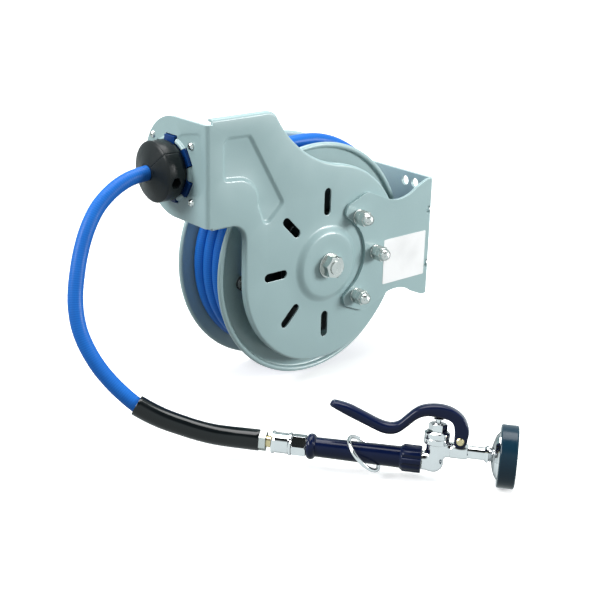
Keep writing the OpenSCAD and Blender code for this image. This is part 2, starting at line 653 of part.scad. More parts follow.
// The hose from the drum to the ball stop: it climbs one layer, runs over the top and leaves for the guide
lead_start = wind_mid[wind_steps] + 2 * hose_d * along_drum(wind_a1);
lead_a0 = atan2(lead_start[2], lead_start[0]) + 360;
lead_y = -11;
lead_top = 455;
lead_join = 415;
climb_in = 59;
function lead_radius(t) = norm([lead_start[0], lead_start[2]]) * (1 + 2 * t) * pow(1 - t, 2)
    + climb_in * t * pow(1 - t, 2) + lead_r * t * t * (3 - 2 * t);
lead_steps = 9;
lead_climb = [for (i = [1:lead_steps]) let (t = i / lead_steps, a = lead_a0 + (lead_join - lead_a0) * t)
    on_drum(a, lead_radius(t), lead_start[1] + (lead_y - lead_start[1]) * smooth(t))];
lead_over = [for (a = [lead_join + 13:13:lead_top]) on_drum(a, lead_r, lead_y)];
ball_x = flange_x - collar_w - gap;          // rear face of the ball stop
ball_y = guide_y - 2.5;
exit_x = ball_x - ball_l;                    // front face, where the hose comes out
splice_x = exit_x + 15;                      // inside the ball stop, where the free hose takes over
lead_run = [[-38, lead_y, 134.5], [-70, -9, 131.5], [-105, -5, 128.5], [-140, -1.5, guide_h],
    [flange_x + 8, ball_y, guide_h], [splice_x, ball_y, guide_h]];
lead_path = concat([wind_path[len(wind_path) - 1], lead_start], lead_climb, lead_over, lead_run);
module hose_lead() color(hose_blue) at_hub() swept(lead_path, hose_r, 10, [0, 1, 0.01]);

// ================= guide and ball stop =================
module at_guide() at_hub() translate([0, guide_y, guide_h]) children();
module at_ball() at_hub() translate([0, ball_y, guide_h]) children();
guide_back = flange_x + plate_t;
guide_w = guide_sx / 2 + 7;
guide_l = guide_sz / 2 + 7;
module hose_guide() color([0.05, 0.25, 0.6]) at_guide() difference() {
    union() {
        // Square flange behind the frame, held by four screws
        sheet_x(guide_back, guide_back + 3) polygon(rounded([
            [-guide_w, -guide_l, 6], [guide_w, -guide_l, 6], [guide_w, guide_l, 6], [-guide_w, guide_l, 6]]));
        rod_x(tab_r - 5 - gap, flange_x - 1, guide_back + 0.01);
        for (a = [0:60:300]) rotate([30 + a, 0, 0]) translate([flange_x - collar_w, 0, -tab_w / 2])
            cube([plate_t + collar_w + 0.01, tab_r, tab_w]);
        // Funnel towards the drum
        revolve_x([[throat_r, guide_back], [throat_r + 6, guide_back], [throat_r + 14, guide_back + 14],
            [throat_r + 11, guide_back + 14.5], [throat_r, guide_back + 3]]);
    }
    revolve_x([[0, flange_x - 10], [throat_r + 3, flange_x - 10], [throat_r + 3, flange_x - 1],
        [throat_r, flange_x + 3], [throat_r, guide_back + 3], [throat_r + 11, guide_back + 14.5],
        [0, guide_back + 20]]);
    for (y = [-guide_sx / 2, guide_sx / 2], z = [-guide_sz / 2, guide_sz / 2])
        translate([0, y, z]) rod_x(2.2, guide_back - 1, guide_back + 4);
}
module at_guide_screws() at_guide() for (y = [-guide_sx / 2, guide_sx / 2], z = [-guide_sz / 2, guide_sz / 2])
    translate([0, y, z]) children();
module guide_screws() color("silver") at_guide_screws() difference() {
    union() {
        rod_x(2, flange_x - 0.01, guide_back + 10);
        revolve_x([[0, flange_x - 2.6], [2.2, flange_x - 2.6], [3.6, flange_x - 1.7], [4.2, flange_x],
            [0, flange_x]]);
    }
    for (a = [0, 90]) rotate([a, 0, 0]) translate([flange_x - 3, -2.2, -0.4]) cube([1.8, 4.4, 0.8]);
}
module guide_nuts() color("silver") at_guide_screws() difference() {
    hex_x(7, guide_back + 3, guide_back + 6.2);
    rod_x(2 + run_gap, guide_back + 2, guide_back + 7);
}
// Ball stop: two moulded halves clamped on the hose by two bolts
ball_tilt = 135;
part_gap = 0.4;
module ball_half(side) rotate([ball_tilt, 0, 0]) difference() {
    revolve_x([[0, ball_x], [ball_r - 4, ball_x], [ball_r, ball_x - 7], [ball_r, ball_x - 23],
        [ball_r - 1, ball_x - 24], [ball_r - 8, ball_x - 26.5], [hose_r + 7, exit_x + 1.2],
        [hose_r + 3, exit_x], [0, exit_x]]);
    rod_x(hose_r + 0.05, exit_x - 1, ball_x + 1);
    translate([exit_x - 1, -ball_r - 1, side > 0 ? -ball_r - 1 + part_gap / 2 : -part_gap / 2])
        cube([ball_l + 2, 2 * ball_r + 2, ball_r + 1]);
    for (s = [-1, 1]) translate([ball_mid, s * ball_bolt, 0]) {
        translate([0, 0, -ball_r]) cylinder(h = 2 * ball_r, r = m6_r + 0.2);
        if (side > 0) translate([0, 0, ball_grip]) cylinder(h = ball_r, d = (m6_af + 0.8) / cos(30), $fn = 6);
        else translate([0, 0, -ball_grip - ball_r]) cylinder(h = ball_r, r = m6_head_r + 0.5);
    }
}
ball_mid = ball_x - 15;
ball_grip = 13;
m6_r = 3;
m6_af = 10;
m6_head_r = 5;
module ball_stop_lower() color([0.1, 0.11, 0.12]) at_ball() ball_half(1);
module ball_stop_upper() color([0.1, 0.11, 0.12]) at_ball() ball_half(-1);
module at_ball_bolts() at_ball() rotate([ball_tilt, 0, 0])
    for (s = [-1, 1]) translate([ball_mid, s * ball_bolt, 0]) children();
module ball_stop_bolts() color([0.2, 0.2, 0.22]) at_ball_bolts() {
    translate([0, 0, -ball_grip]) cylinder(h = 2 * ball_grip + 6, r = m6_r);
    translate([0, 0, -ball_grip - 5]) difference() {
        cylinder(h = 5, r = m6_head_r);
        translate([0, 0, -1]) cylinder(h = 4, d = 5 / cos(30), $fn = 6);
    }
}
module ball_stop_nuts() color([0.2, 0.2, 0.22]) at_ball_bolts() translate([0, 0, ball_grip]) difference() {
    cylinder(h = 5, d = m6_af / cos(30), $fn = 6);
    translate([0, 0, -1]) cylinder(h = 7, r = m6_r + run_gap);
}

// ================= free hose =================
// Places in the valve's own frame: x along the grip towards the head, z up through the lever
valve_pos = [-331, -226, -125];
valve_turn = [-11.5, 1.4, -49.7];
module at_valve() translate(valve_pos) rotate(valve_turn) children();
function spin_x(a, p) = [p[0], p[1] * cos(a) - p[2] * sin(a), p[1] * sin(a) + p[2] * cos(a)];
function spin_y(a, p) = [p[0] * cos(a) + p[2] * sin(a), p[1], -p[0] * sin(a) + p[2] * cos(a)];
function spin_z(a, p) = [p[0] * cos(a) - p[1] * sin(a), p[0] * sin(a) + p[1] * cos(a), p[2]];
function from_valve(p) = valve_pos + spin_z(valve_turn[2], spin_y(valve_turn[1], spin_x(valve_turn[0], p)));

// Route of the free hose, from the ball stop's face to the sleeve
hose_exit = hub_pos + [exit_x, ball_y, guide_h];
hose_splice = hub_pos + [splice_x, ball_y, guide_h];
route = [[-399, 1, 119], [-420, 0, 110], [-439, -2, 96], [-454, -6, 78], [-466, -11, 57],
    [-475.7, -17.4, 34.8], [-482.7, -23.7, 13.1], [-486, -30.4, -5.6], [-486.3, -38.2, -23.2],
    [-483.2, -48.4, -41.2], [-477.1, -60.6, -59.2], [-467.4, -75.1, -76.8]];
sleeve_route = [[-455, -91.2, -93.1], [-445, -102.1, -100.9], [-434.2, -113.5, -107.5],
    [-422.6, -125.3, -112.7], [-411, -137.2, -117.4], [-398.2, -149.3, -121.2], [-385.8, -161.7, -122.9]];
sleeve_end = -54;
cord_path = concat([hose_splice, hose_exit], route, sleeve_route,
    [from_valve([sleeve_end - 18, 0, 0]), from_valve([sleeve_end, 0, 0])]);
sleeve_i = 2 + len(route);
view_up = [0.6, 0.7, -0.35];
sleeve_r = 11.2;
module hose_free() color(hose_blue) swept(cord_path, hose_r, 10, view_up, 0, sleeve_i);
module bend_sleeve() color([0.08, 0.08, 0.09]) swept(cord_path, sleeve_r, 12, view_up, sleeve_i);
ferrule_l = 7;
nipple_l = 6;
spool_s0 = sleeve_end + ferrule_l + nipple_l;
spool_l = 20.5;
module hose_ferrule() color([0.75, 0.76, 0.76]) at_valve() difference() {
    hex_x(19, sleeve_end, sleeve_end + ferrule_l);
    rod_x(nipple_r + 0.05, sleeve_end - 1, sleeve_end + ferrule_l + 1);
}
nipple_r = 6;
module hose_nipple() color([0.8, 0.7, 0.45]) at_valve()
    revolve_x([[4, sleeve_end], [nipple_r, sleeve_end], [nipple_r, spool_s0 + 4], [4, spool_s0 + 4]]);
// Swivel: the spool stays on the hose, the adapter turns in it with the valve
spool_r = 10.7;
rim_r = 12;
spool_s1 = spool_s0 + spool_l;
pivot_r = 7.5;
module swivel_spool() color([0.85, 0.86, 0.88]) at_valve() difference() {
    revolve_x([[nipple_r + 0.05, spool_s0], [rim_r - 0.6, spool_s0], [rim_r, spool_s0 + 0.6],
        [rim_r, spool_s0 + 2], [spool_r, spool_s0 + 3.4], [spool_r, spool_s1 - 3.4], [rim_r, spool_s1 - 2],
        [rim_r, spool_s1 - 0.6], [rim_r - 0.6, spool_s1], [pivot_r + run_gap, spool_s1],
        [pivot_r + run_gap, spool_s0 + 6], [nipple_r + 0.05, spool_s0 + 6]]);
}
// ================= spray valve =================
hex_s0 = spool_s1 + gap;
hex_s1 = -5.2;
module valve_adapter() color([0.82, 0.83, 0.84]) at_valve() difference() {
    union() {
        rod_x(pivot_r, spool_s0 + 6.5, hex_s0 + 0.01);
        intersection() {
            rotate([30, 0, 0]) hex_x(20, hex_s0, hex_s1);
            revolve_x([[0, hex_s0], [10.2, hex_s0], [11.6, hex_s0 + 1.2], [11.6, hex_s1 - 1.2],
                [10.2, hex_s1], [0, hex_s1]]);
        }
    }
    rod_x(4, spool_s0, 0);
}
bead_half = 5;
grip_r0 = grip_d / 2;
grip_r1 = grip_r0 + 1;
grip_s0 = -bead_half;
collar_s0 = grip_l - 21.5;
bead_rad = 13.5;
tube_out = 7.5;
module grip() color(navy) at_valve() revolve_x(concat(
    [[tube_out + 0.02, grip_s0 + 0.2], [bead_rad - bead_half, grip_s0]],
    [for (a = [-75:15:60]) [bead_rad - bead_half + bead_half * cos(a), bead_half * sin(a)]],
    [[grip_r0, bead_half - 0.2], [grip_r1, collar_s0], [tube_out + 0.02, collar_s0]]));
module grip_tube() color("silver") at_valve() difference() {
    rod_x(tube_out, hex_s1, body_s - 9);
    rod_x(5.5, hex_s1 - 1, body_s);
}
collar_ribs = 10;
module grip_collar() color([0.07, 0.09, 0.2]) at_valve() difference() {
    collar_r = collar_d / 2;
    revolve_x([[tube_out + 0.02, collar_s0], [grip_r1 + 0.4, collar_s0], [collar_r, collar_s0 + 3.5],
        [collar_r, grip_l - 0.8], [collar_r - 0.8, grip_l], [tube_out + 0.02, grip_l]]);
    for (i = [0:collar_ribs - 1]) rotate([360 / collar_ribs * i, 0, 0])
        translate([0, 0, collar_r + 1.2]) rod_x(2.6, collar_s0 + 2, grip_l + 1);
}
body_r = 8;
body_top_r = 12.9;
body_top = 24.5;
seat_h = 15;
stem_r = 3;
boss_s = 158;
outlet_r = 8;
lug_w = 6;
pivot_s = 150;
pivot_h = 25;
lever_swing = 7.5;
screw_r = 2;
module revolve_up(pts) translate([body_s, 0, 0]) rotate_extrude() polygon(pts);
module valve_body() color([0.85, 0.86, 0.88]) at_valve() difference() {
    union() {
        // Inlet stub, upright barrel and outlet boss of one casting
        rod_x(9.8, grip_l + gap, body_s);
        revolve_up([[0, -10.5], [2.4, -10.5], [5.2, -9.6], [7.4, -7.8], [body_r + 0.6, -5],
            [body_r + 0.4, -2], [body_r, 2], [body_r, 10], [10.2, 15.5], [10.4, 17.5],
            [body_top_r - 0.6, 18.5], [body_top_r, 19.4], [body_top_r, body_top - 0.8],
            [body_top_r - 0.8, body_top], [0, body_top]]);
        translate([0, 0, neck_h]) rod_x(outlet_r, body_s, boss_s);
        translate([pivot_s, 0, 0]) rotate([90, 0, 0]) linear_extrude(lug_w, center = true)
            polygon(rounded([[-6, neck_h, 0], [6, neck_h, 0], [4.2, pivot_h + 4.2, 3.5],
                [-4.2, pivot_h + 4.2, 3.5]]));
    }
    rod_x(tube_out + 0.02, grip_l - 1, body_s - 9);
    rod_x(4.5, body_s - 10, body_s);
    translate([body_s, 0, 0]) cylinder(h = body_top + 1, r = 4.5);
    translate([body_s, 0, seat_h]) cylinder(h = body_top, r = 8);
    translate([0, 0, neck_h]) rod_x(4, body_s, boss_s + 1);
    translate([pivot_s, 0, pivot_h]) rod_y(screw_r + run_gap, -lug_w, lug_w);
}
bonnet_top = 39.6;
hex_af = 16.5;
module bonnet() color([0.85, 0.86, 0.88]) at_valve() difference() {
    union() {
        revolve_up([[0, body_top], [body_top_r - 0.6, body_top], [body_top_r, body_top + 0.8],
            [body_top_r, body_top + 5.5], [body_top_r - 2.2, body_top + 7.5], [0, body_top + 7.5]]);
        translate([body_s, 0, 0]) intersection() {
            translate([0, 0, body_top]) cylinder(h = bonnet_top - body_top, d = hex_af / cos(30), $fn = 6);
            rotate_extrude() polygon([[0, body_top], [10, body_top], [10, bonnet_top - 1.4],
                [8.2, bonnet_top], [0, bonnet_top]]);
        }
        revolve_up([[0, 17], [7.95, 17], [7.95, body_top], [0, body_top]]);
    }
    revolve_up([[0, 16], [6, 16], [6, bonnet_top - 8], [4.6, bonnet_top - 8], [4.6, bonnet_top + 1],
        [0, bonnet_top + 1]]);
}
gland_r = 5.6;
gland_rim = 0.6;
stem_cap_r = 5.2;
stem_cap = 1.5;
stem_top = 45.4;
disc_h = 19.4;
module bonnet_gland() color([0.8, 0.81, 0.83]) at_valve()
    revolve_up([[stem_r + run_gap, bonnet_top - 7.5], [4.55, bonnet_top - 7.5], [4.55, bonnet_top],
        [gland_r, bonnet_top], [gland_r - 0.3, bonnet_top + gland_rim],
        [stem_r + run_gap, bonnet_top + gland_rim]]);
module stem() color([0.85, 0.86, 0.88]) at_valve() revolve_up([
    [0, disc_h], [5, disc_h], [5, disc_h + 2.5], [stem_r, disc_h + 2.5], [stem_r, stem_top - stem_cap],
    [stem_cap_r, stem_top - stem_cap], [stem_cap_r, stem_top - 0.9], [stem_cap_r - 1.2, stem_top - 0.4],
    [stem_cap_r - 2.6, stem_top], [0, stem_top]]);
spring_wire = 0.45;
spring_turns = 5;
spring_l = disc_h - 2 * spring_wire - 0.4;
module stem_spring() color([0.6, 0.62, 0.64]) at_valve() translate([body_s, 0, spring_wire + 0.2])
    swept(helix(3.75, spring_l / spring_turns, spring_turns, 12), spring_wire, 6, [0, 0, 1]);

// Lever: an extruded side outline, slotted at the pivot to straddle the lug
lever_top = [[15.6, 47], [17, 50.4], [20, 51.5], [28, 50.6], [36, 49], [44, 46.1], [52.5, 42.7], [61, 39.2],
    [69, 36.4], [75, 35.2], [81, 35.4], [87, 38], [93.6, 44.8], [101, 52], [108.6, 56.6], [118, 59],
    [129, 59.2], [140, 56.4], [149.4, 50.7], [155.2, 43], [158, 34], [157.3, 27]];
lever_under = [[143.7, 27], [143.5, 33], [142, 40], [138.5, 44], [132, 45.7], [124, 45.9], [116, 45.8],
    [109, 43.8], [103, 39.6], [97, 33.6], [91, 28], [86, 24.6], [80, 23], [73, 23], [65, 25.2], [54, 29.4],
    [45, 32.8], [37, 36], [28, 39.8], [20, 43.4], [17, 44.6]];
module lever_outline() {
    tip = arc([pivot_s + 0.5, pivot_h], 6.4, -10, -170, 8);
    polygon(concat(curve(lever_top, 2), tip, curve(lever_under, 2)));
}
module lever() color(navy) at_valve() difference() {
    rotate([90, 0, 0]) linear_extrude(lever_w, center = true) lever_outline();
    // Slot for the lug, and room for the outlet boss at both ends of the swing
    translate([pivot_s - 12, -lug_w / 2 - gap, 0]) cube([30, lug_w + 2 * gap, pivot_h + 8]);
    translate([0, 0, neck_h]) rod_x(outlet_r + 0.4, pivot_s - 12, pivot_s + 20);
    translate([pivot_s, 0, pivot_h]) rotate([0, lever_swing, 0]) translate([-pivot_s, 0, neck_h - pivot_h])
        rod_x(outlet_r + 0.4, pivot_s - 12, pivot_s + 20);
    translate([pivot_s, 0, pivot_h]) rod_y(screw_r + run_gap, -lever_w, lever_w);
}
module lever_screw() color("silver") at_valve() translate([pivot_s, 0, pivot_h]) {
    rod_y(screw_r, -lever_w / 2 - gap - 0.01, lever_w / 2 + gap);
    face = -lever_w / 2 - gap;
    revolve_y([[0, face - 1.6], [2.6, face - 1.6], [3.9, face - 0.5], [3.9, face], [0, face]]);
    hex_y(6, lever_w / 2 + gap, lever_w / 2 + gap + 2.4);
}

// Spray neck, head shell, face and bumper
module on_neck() at_valve() translate([0, 0, neck_h]) children();
neck_r = neck_d / 2;
shell_s = bumper_s - 7.5;
flare_s = shell_s - 6;
module spray_neck() color([0.85, 0.86, 0.88]) on_neck() revolve_x([
    [4, boss_s], [7, boss_s], [neck_r, boss_s + 0.8], [neck_r, flare_s - 1], [8.6, flare_s + 1.5],
    [8.6, flare_s + 3], [6.6, flare_s + 3.6], [7.6, flare_s + 4.8], [6, shell_s], [4, shell_s]]);
face_s = bumper_s + bumper_l - 3;
shell_r = 23.8;
module head_shell() color([0.85, 0.86, 0.88]) on_neck() revolve_x([
    [4, shell_s], [7.5, shell_s], [14, shell_s + 1.6], [19.5, shell_s + 3.4], [shell_r, bumper_s - gap - 0.8],
    [shell_r, face_s - 2], [shell_r - 1.2, face_s - 2], [shell_r - 1.2, bumper_s], [18.8, shell_s + 5],
    [13.5, shell_s + 3.2], [4, shell_s + 2.6]]);
face_rings = [[7, 6], [12.5, 12], [18, 18]];
module spray_face() color([0.75, 0.77, 0.79]) on_neck() difference() {
    rod_x(shell_r - gap, face_s - 2, face_s);
    rod_x(2.1, face_s - 3, face_s + 1);
    for (q = face_rings, i = [0:q[1] - 1]) rotate([360 / q[1] * i, 0, 0])
        translate([0, 0, q[0]]) rod_x(0.9, face_s - 3, face_s + 1);
}
module face_screw() color("silver") on_neck() {
    rod_x(2, shell_s + 6, face_s + 0.01);
    revolve_x([[0, face_s], [3.8, face_s], [3.2, face_s + 1.4], [0, face_s + 1.9]]);
}
module bumper() color([0.09, 0.15, 0.28]) on_neck() {
    r = bumper_d / 2;
    e = bumper_s + bumper_l;
    revolve_x([[shell_r + 0.05, bumper_s], [r - 1.2, bumper_s], [r - 0.4, bumper_s + 0.4],
        [r, bumper_s + 1.2], [r, e - 1.5], [r - 0.4, e - 0.5], [r - 1.5, e], [shell_r + 4, e],
        [shell_r + 1.5, e - 2], [shell_r + 0.05, e - 2]]);
}
// Hold-open ring, leaning on the grip
ring_pos = [54.3, 0.2, -0.99];
ring_lean = 48;
ring_yaw = -8;
module hold_ring() color([0.85, 0.86, 0.88]) at_valve() translate(ring_pos)
    rotate([0, -ring_lean, 0]) rotate([0, 0, ring_yaw]) rotate([0, 90, 0])
        rotate_extrude() translate([(ring_d - ring_wire) / 2, 0]) circle(d = ring_wire, $fn = 24);

mounting_bracket();
frame_plate();
bracket_bolts();
bracket_washers();
bracket_nuts();
bracket_cap_nuts();
label_plate();
axle();
axle_washer();
axle_nut();
axle_ring();
pawl_pin();
pawl_spring();
pawl();
ratchet_ring();
near_flange();
far_flange();
drum_barrel();
drum_bolts();
spring_case();
main_spring();
near_bush();
far_bush();
swivel_housing();
swivel_seals();
outlet_elbow();
hose_core();
hose_winding();
hose_lead();
hose_guide();
guide_screws();
guide_nuts();
ball_stop_lower();
ball_stop_upper();
ball_stop_bolts();
ball_stop_nuts();
hose_free();
bend_sleeve();
hose_ferrule();
hose_nipple();
swivel_spool();
valve_adapter();
grip_tube();
grip();
grip_collar();
valve_body();
bonnet();
bonnet_gland();
stem();
stem_spring();
lever();
lever_screw();
spray_neck();
head_shell();
spray_face();
face_screw();
bumper();
hold_ring();
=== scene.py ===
# %% [markdown]
# # Dressing a spring-rewind hose reel in Blender
# The CAD nodes give this reel its sizes, its pieces and its joints. This lesson gives it its looks:
# a camera, the hanging hose, a pressed frame sheet, wound hose, a dipped lever and a finish for
# every piece. Blender works in metres. The chosen sizes are typed in millimetres and turned into
# metres by one factor, because that is how such a reel is drawn.
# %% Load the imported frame
import math

import bmesh
import bpy
import numpy as np
from mathutils import Matrix, Vector
from mathutils.geometry import delaunay_2d_cdt
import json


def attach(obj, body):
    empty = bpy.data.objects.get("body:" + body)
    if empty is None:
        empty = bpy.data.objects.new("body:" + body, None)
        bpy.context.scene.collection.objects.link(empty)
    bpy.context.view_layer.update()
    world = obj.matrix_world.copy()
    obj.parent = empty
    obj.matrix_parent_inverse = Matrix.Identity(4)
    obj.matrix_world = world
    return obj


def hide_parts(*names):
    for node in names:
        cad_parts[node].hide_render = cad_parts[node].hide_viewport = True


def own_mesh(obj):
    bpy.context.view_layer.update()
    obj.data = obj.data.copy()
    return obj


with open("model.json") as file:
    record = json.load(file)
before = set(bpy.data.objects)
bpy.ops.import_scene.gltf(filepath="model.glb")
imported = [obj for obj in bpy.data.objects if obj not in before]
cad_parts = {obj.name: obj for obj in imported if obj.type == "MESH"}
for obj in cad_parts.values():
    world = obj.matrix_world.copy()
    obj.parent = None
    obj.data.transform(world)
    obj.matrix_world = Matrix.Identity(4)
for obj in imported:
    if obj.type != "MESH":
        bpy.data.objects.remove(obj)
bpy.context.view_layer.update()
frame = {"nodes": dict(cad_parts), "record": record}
nodes = frame["nodes"]
scene = bpy.context.scene
MM = 0.001

# %% [markdown]
# ## The camera
# A product picture is usually taken with a long lens, so that upright edges stay nearly parallel. A
# camera object looks along its own -Z axis with +Y up. Its matrix can be written down from three
# directions instead of being turned by trial, and that is how it is done here: right, up and forward.
# %% Camera
right = Vector((0.7646, -0.6441, 0.0217))
up = Vector((0.2077, 0.2782, 0.9378))
forward = Vector((0.6101, 0.7125, -0.3465))
camera = bpy.data.objects.new("camera", bpy.data.cameras.new("camera"))
camera.data.sensor_width = 36
camera.data.lens = 72
pose = Matrix((right, up, -forward)).transposed().to_4x4()
pose.translation = Vector((-1.0609, -1.0551, 0.4429))
camera.matrix_world = pose
scene.collection.objects.link(camera)
scene.camera = camera

# %% [markdown]
# ## A tube along a path
# Hose, sleeve and springs are all round sections carried along a curve. Blender's own curve bevel
# would do for a plain one. A mesh gives control over the ends and over the length along the tube,
# which the finishes need later. The side directions are carried from ring to ring without turning
# about the path, so the skin never twists.
# %% Smooth paths


def catmull_rom(points, counts):
    """A curve through points, with a count of steps from each point to the next."""
    ends = np.vstack([2 * points[0] - points[1], points, 2 * points[-1] - points[-2]])
    out = []
    for p0, p1, p2, p3, count in zip(ends, ends[1:], ends[2:], ends[3:], counts):
        bend, sway = 2 * p0 - 5 * p1 + 4 * p2 - p3, 3 * p1 - p0 - 3 * p2 + p3
        for t in np.arange(count) / count:
            out.append(0.5 * (2 * p1 + (p2 - p0) * t + bend * t**2 + sway * t**3))
    return np.array(out + [points[-1]])


def smooth_path(points, step):
    """A curve through points in mm, cut into pieces of about one step."""
    points = np.asarray(points, float)
    spans = [float(np.linalg.norm(q - p)) for p, q in zip(points, points[1:])]
    return catmull_rom(points, [max(1, round(span / step)) for span in spans])


def path_length(path):
    return float(np.linalg.norm(np.diff(path, axis=0), axis=1).sum())


def side_directions(path):
    """Tangents, and two directions square to them that don't turn about the path."""
    tangents = np.gradient(path, axis=0)
    tangents /= np.linalg.norm(tangents, axis=1)[:, None]
    side = np.cross(tangents[0], (0.31, 0.52, 0.79))
    sides = []
    for t in tangents:
        side = side - t * (side @ t)
        side /= np.linalg.norm(side)
        sides.append(side)
    sides = np.array(sides)
    return tangents, sides, np.cross(tangents, sides)


# %% Skin of rings


def new_object(name, mesh):
    obj = bpy.data.objects.new(name, mesh)
    scene.collection.objects.link(obj)
    return obj


def mesh_of(build, name):
    """Turns a finished bmesh into a mesh."""
    mesh = bpy.data.meshes.new(name)
    build.to_mesh(mesh)
    build.free()
    return mesh


finish_of = {}


def fit(piece, body, finish, stands_for=None):
    """Lets a piece ride on a body, take a finish, and stand for a CAD node."""
    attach(piece, body)
    finish_of[piece] = finish
    if stands_for:
        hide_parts(stands_for)


def shaded(mesh, angle=35):
    """Smooth faces, with a crease wherever two of them meet at more than the angle."""
    for face in mesh.polygons:
        face.use_smooth = True
    mesh.set_sharp_from_angle(angle=math.radians(angle))


def ring_skin(name, rings, along=None, close_ends=True):
    """A mesh from rings of points in mm. Its UV map holds the turn and the length along, in metres."""
    rings = np.asarray(rings, float)
    count, sides = rings.shape[:2]
    along = np.arange(count) if along is None else np.asarray(along)
    build = bmesh.new()
    grid = [[build.verts.new(p * MM) for p in ring] for ring in rings]
    uv = build.loops.layers.uv.new("along")
    for i in range(count - 1):
        for k in range(sides):
            n = (k + 1) % sides
            face = build.faces.new((grid[i][k], grid[i][n], grid[i + 1][n], grid[i + 1][k]))
            for loop, (row, col) in zip(face.loops, ((i, k), (i, k + 1), (i + 1, k + 1), (i + 1, k))):
                loop[uv].uv = (col / sides, along[row] * MM)
    if close_ends:
        build.faces.new(grid[0][::-1])
        build.faces.new(grid[-1])
    build.normal_update()
    bmesh.ops.recalc_face_normals(build, faces=build.faces)
    mesh = mesh_of(build, name)
    shaded(mesh)
    return new_object(name, mesh)


def tube(name, path, radius, sides=20, profile=None):
    """A round tube along a path in mm. A profile is [length along, radius] pairs instead of one radius."""
    tangents, u, v = side_directions(path)
    lengths = np.concatenate([[0], np.cumsum(np.linalg.norm(np.diff(path, axis=0), axis=1))])
    if profile is None:
        profile = [(s, radius) for s in lengths]
    angles = np.arange(sides) * 2 * math.pi / sides
    rings = []
    for s, r in profile:
        place = [np.interp(s, lengths, path[:, axis]) for axis in range(3)]
        over = s - min(max(s, 0), lengths[-1])
        near = int(np.argmin(abs(lengths - s)))
        du, dv = ([np.interp(s, lengths, w[:, axis]) for axis in range(3)] for w in (u, v))
        centre = np.array(place) + over * tangents[near]
        rings.append(centre + r * (np.outer(np.cos(angles), du) + np.outer(np.sin(angles), dv)))
    return ring_skin(name, rings, [s for s, _ in profile])


# %% [markdown]
# ## The hanging hose
# This is 3/8 inch rubber hose, 16.5 mm thick. It leaves the ball stop forwards, falls in one easy
# bend under its own weight and turns up a little into the spray valve. A stiff hose like this keeps
# a wide radius, more than five times its thickness. The points were chosen along that curve and are
# the same ones that the solid follows.
# %% Route of the free hose
HUB = np.array((-171.0, 0.0, -4.0))
HOSE_R = 8.25
hose_points = [
    (-361.3, 1, 122.5), (-376.3, 1, 122.5), (-399, 1, 119), (-420, 0, 110), (-439, -2, 96), (-454, -6, 78),
    (-466, -11, 57), (-475.7, -17.4, 34.8), (-482.7, -23.7, 13.1), (-486, -30.4, -5.6),
    (-486.3, -38.2, -23.2), (-483.2, -48.4, -41.2), (-477.1, -60.6, -59.2), (-467.4, -75.1, -76.8),
    (-455, -91.2, -93.1), (-445, -102.1, -100.9), (-434.2, -113.5, -107.5), (-422.6, -125.3, -112.7),
    (-411, -137.2, -117.4), (-398.2, -149.3, -121.2), (-385.8, -161.7, -122.9),
    (-377.555, -171.104, -123.241), (-365.916, -184.828, -123.681),
]
hose_path = smooth_path(hose_points, 5)
free_hose = tube("free_hose", hose_path, HOSE_R)
print("free hose:", round(path_length(hose_path), 1), "mm")

# %% [markdown]
# The black sleeve keeps the hose from kinking at the valve. It is a thin tube pushed over the hose,
# a little wider at its open end, so it is made hollow there: the profile starts inside, comes round
# the rim and runs along the outside. Its last ring closes on the steel ferrule.
# %% Bend sleeve
SLEEVE_FROM, SLEEVE_R, SLEEVE_WAIST = 14, 11.15, 0.55
sleeve_path = smooth_path(hose_points[SLEEVE_FROM:], 4)
sleeve_long = path_length(sleeve_path)
sleeve_rim = [(16, 8.6), (1.0, 9.7), (0.1, 10.2), (-0.1, 10.7), (0.5, 11.1)]
sleeve_side = [
    (s, SLEEVE_R - SLEEVE_WAIST * math.sin(math.pi * s / sleeve_long) ** 2)
    for s in np.linspace(3, sleeve_long - 3, 24)
]
sleeve_end = [
    (sleeve_long - 0.9, SLEEVE_R), (sleeve_long - 0.2, 10.8), (sleeve_long, 10.2), (sleeve_long, 7.0),
]
bend_sleeve = tube("sleeve_skin", sleeve_path, None, 28, sleeve_rim + sleeve_side + sleeve_end)
print("sleeve:", round(sleeve_long, 1), "mm")

fit(free_hose, "frame", "hose_rubber", "hose_free")
fit(bend_sleeve, "frame", "black_rubber", "bend_sleeve")

# %% [markdown]
# ## Floor and light
# The reel stands in a plain white studio. Enamel and chrome show little of their own and much of what
# they mirror, so the surroundings matter more than the lamps. One surrounding can't serve all: the
# render wants a white floor, chrome wants white walls with a black streak, and the inside of the drum
# wants to stay dark. An object's ray visibility says which rays may meet it, so each gets its own: the
# camera sees the floor, mirrors see a large dome, and rough surfaces see only the sky and the lamps.
# %% Floor and dome
FLOOR_Z, FLOOR_HALF, DOME_R = -0.1490, 60, 11


def staged(name, mesh, unseen_by):
    """An object of the studio, hidden from the kinds of rays named."""
    obj = new_object(name, mesh)
    for kind in unseen_by:
        setattr(obj, "visible_" + kind, False)
    return obj


floor_mesh = bpy.data.meshes.new("floor")
corners = [(x * FLOOR_HALF, y * FLOOR_HALF, FLOOR_Z) for x, y in ((-1, -1), (1, -1), (1, 1), (-1, 1))]
floor_mesh.from_pydata(corners, [], [(0, 1, 2, 3)])
floor = staged("floor", floor_mesh, ("diffuse", "glossy"))
dome_build = bmesh.new()
bmesh.ops.create_icosphere(dome_build, subdivisions=4, radius=DOME_R)
dome = staged("dome", mesh_of(dome_build, "dome"), ("camera", "diffuse", "shadow", "transmission"))

# %% Lamps
LAMP_AIM = Vector((-0.22, -0.08, 0))


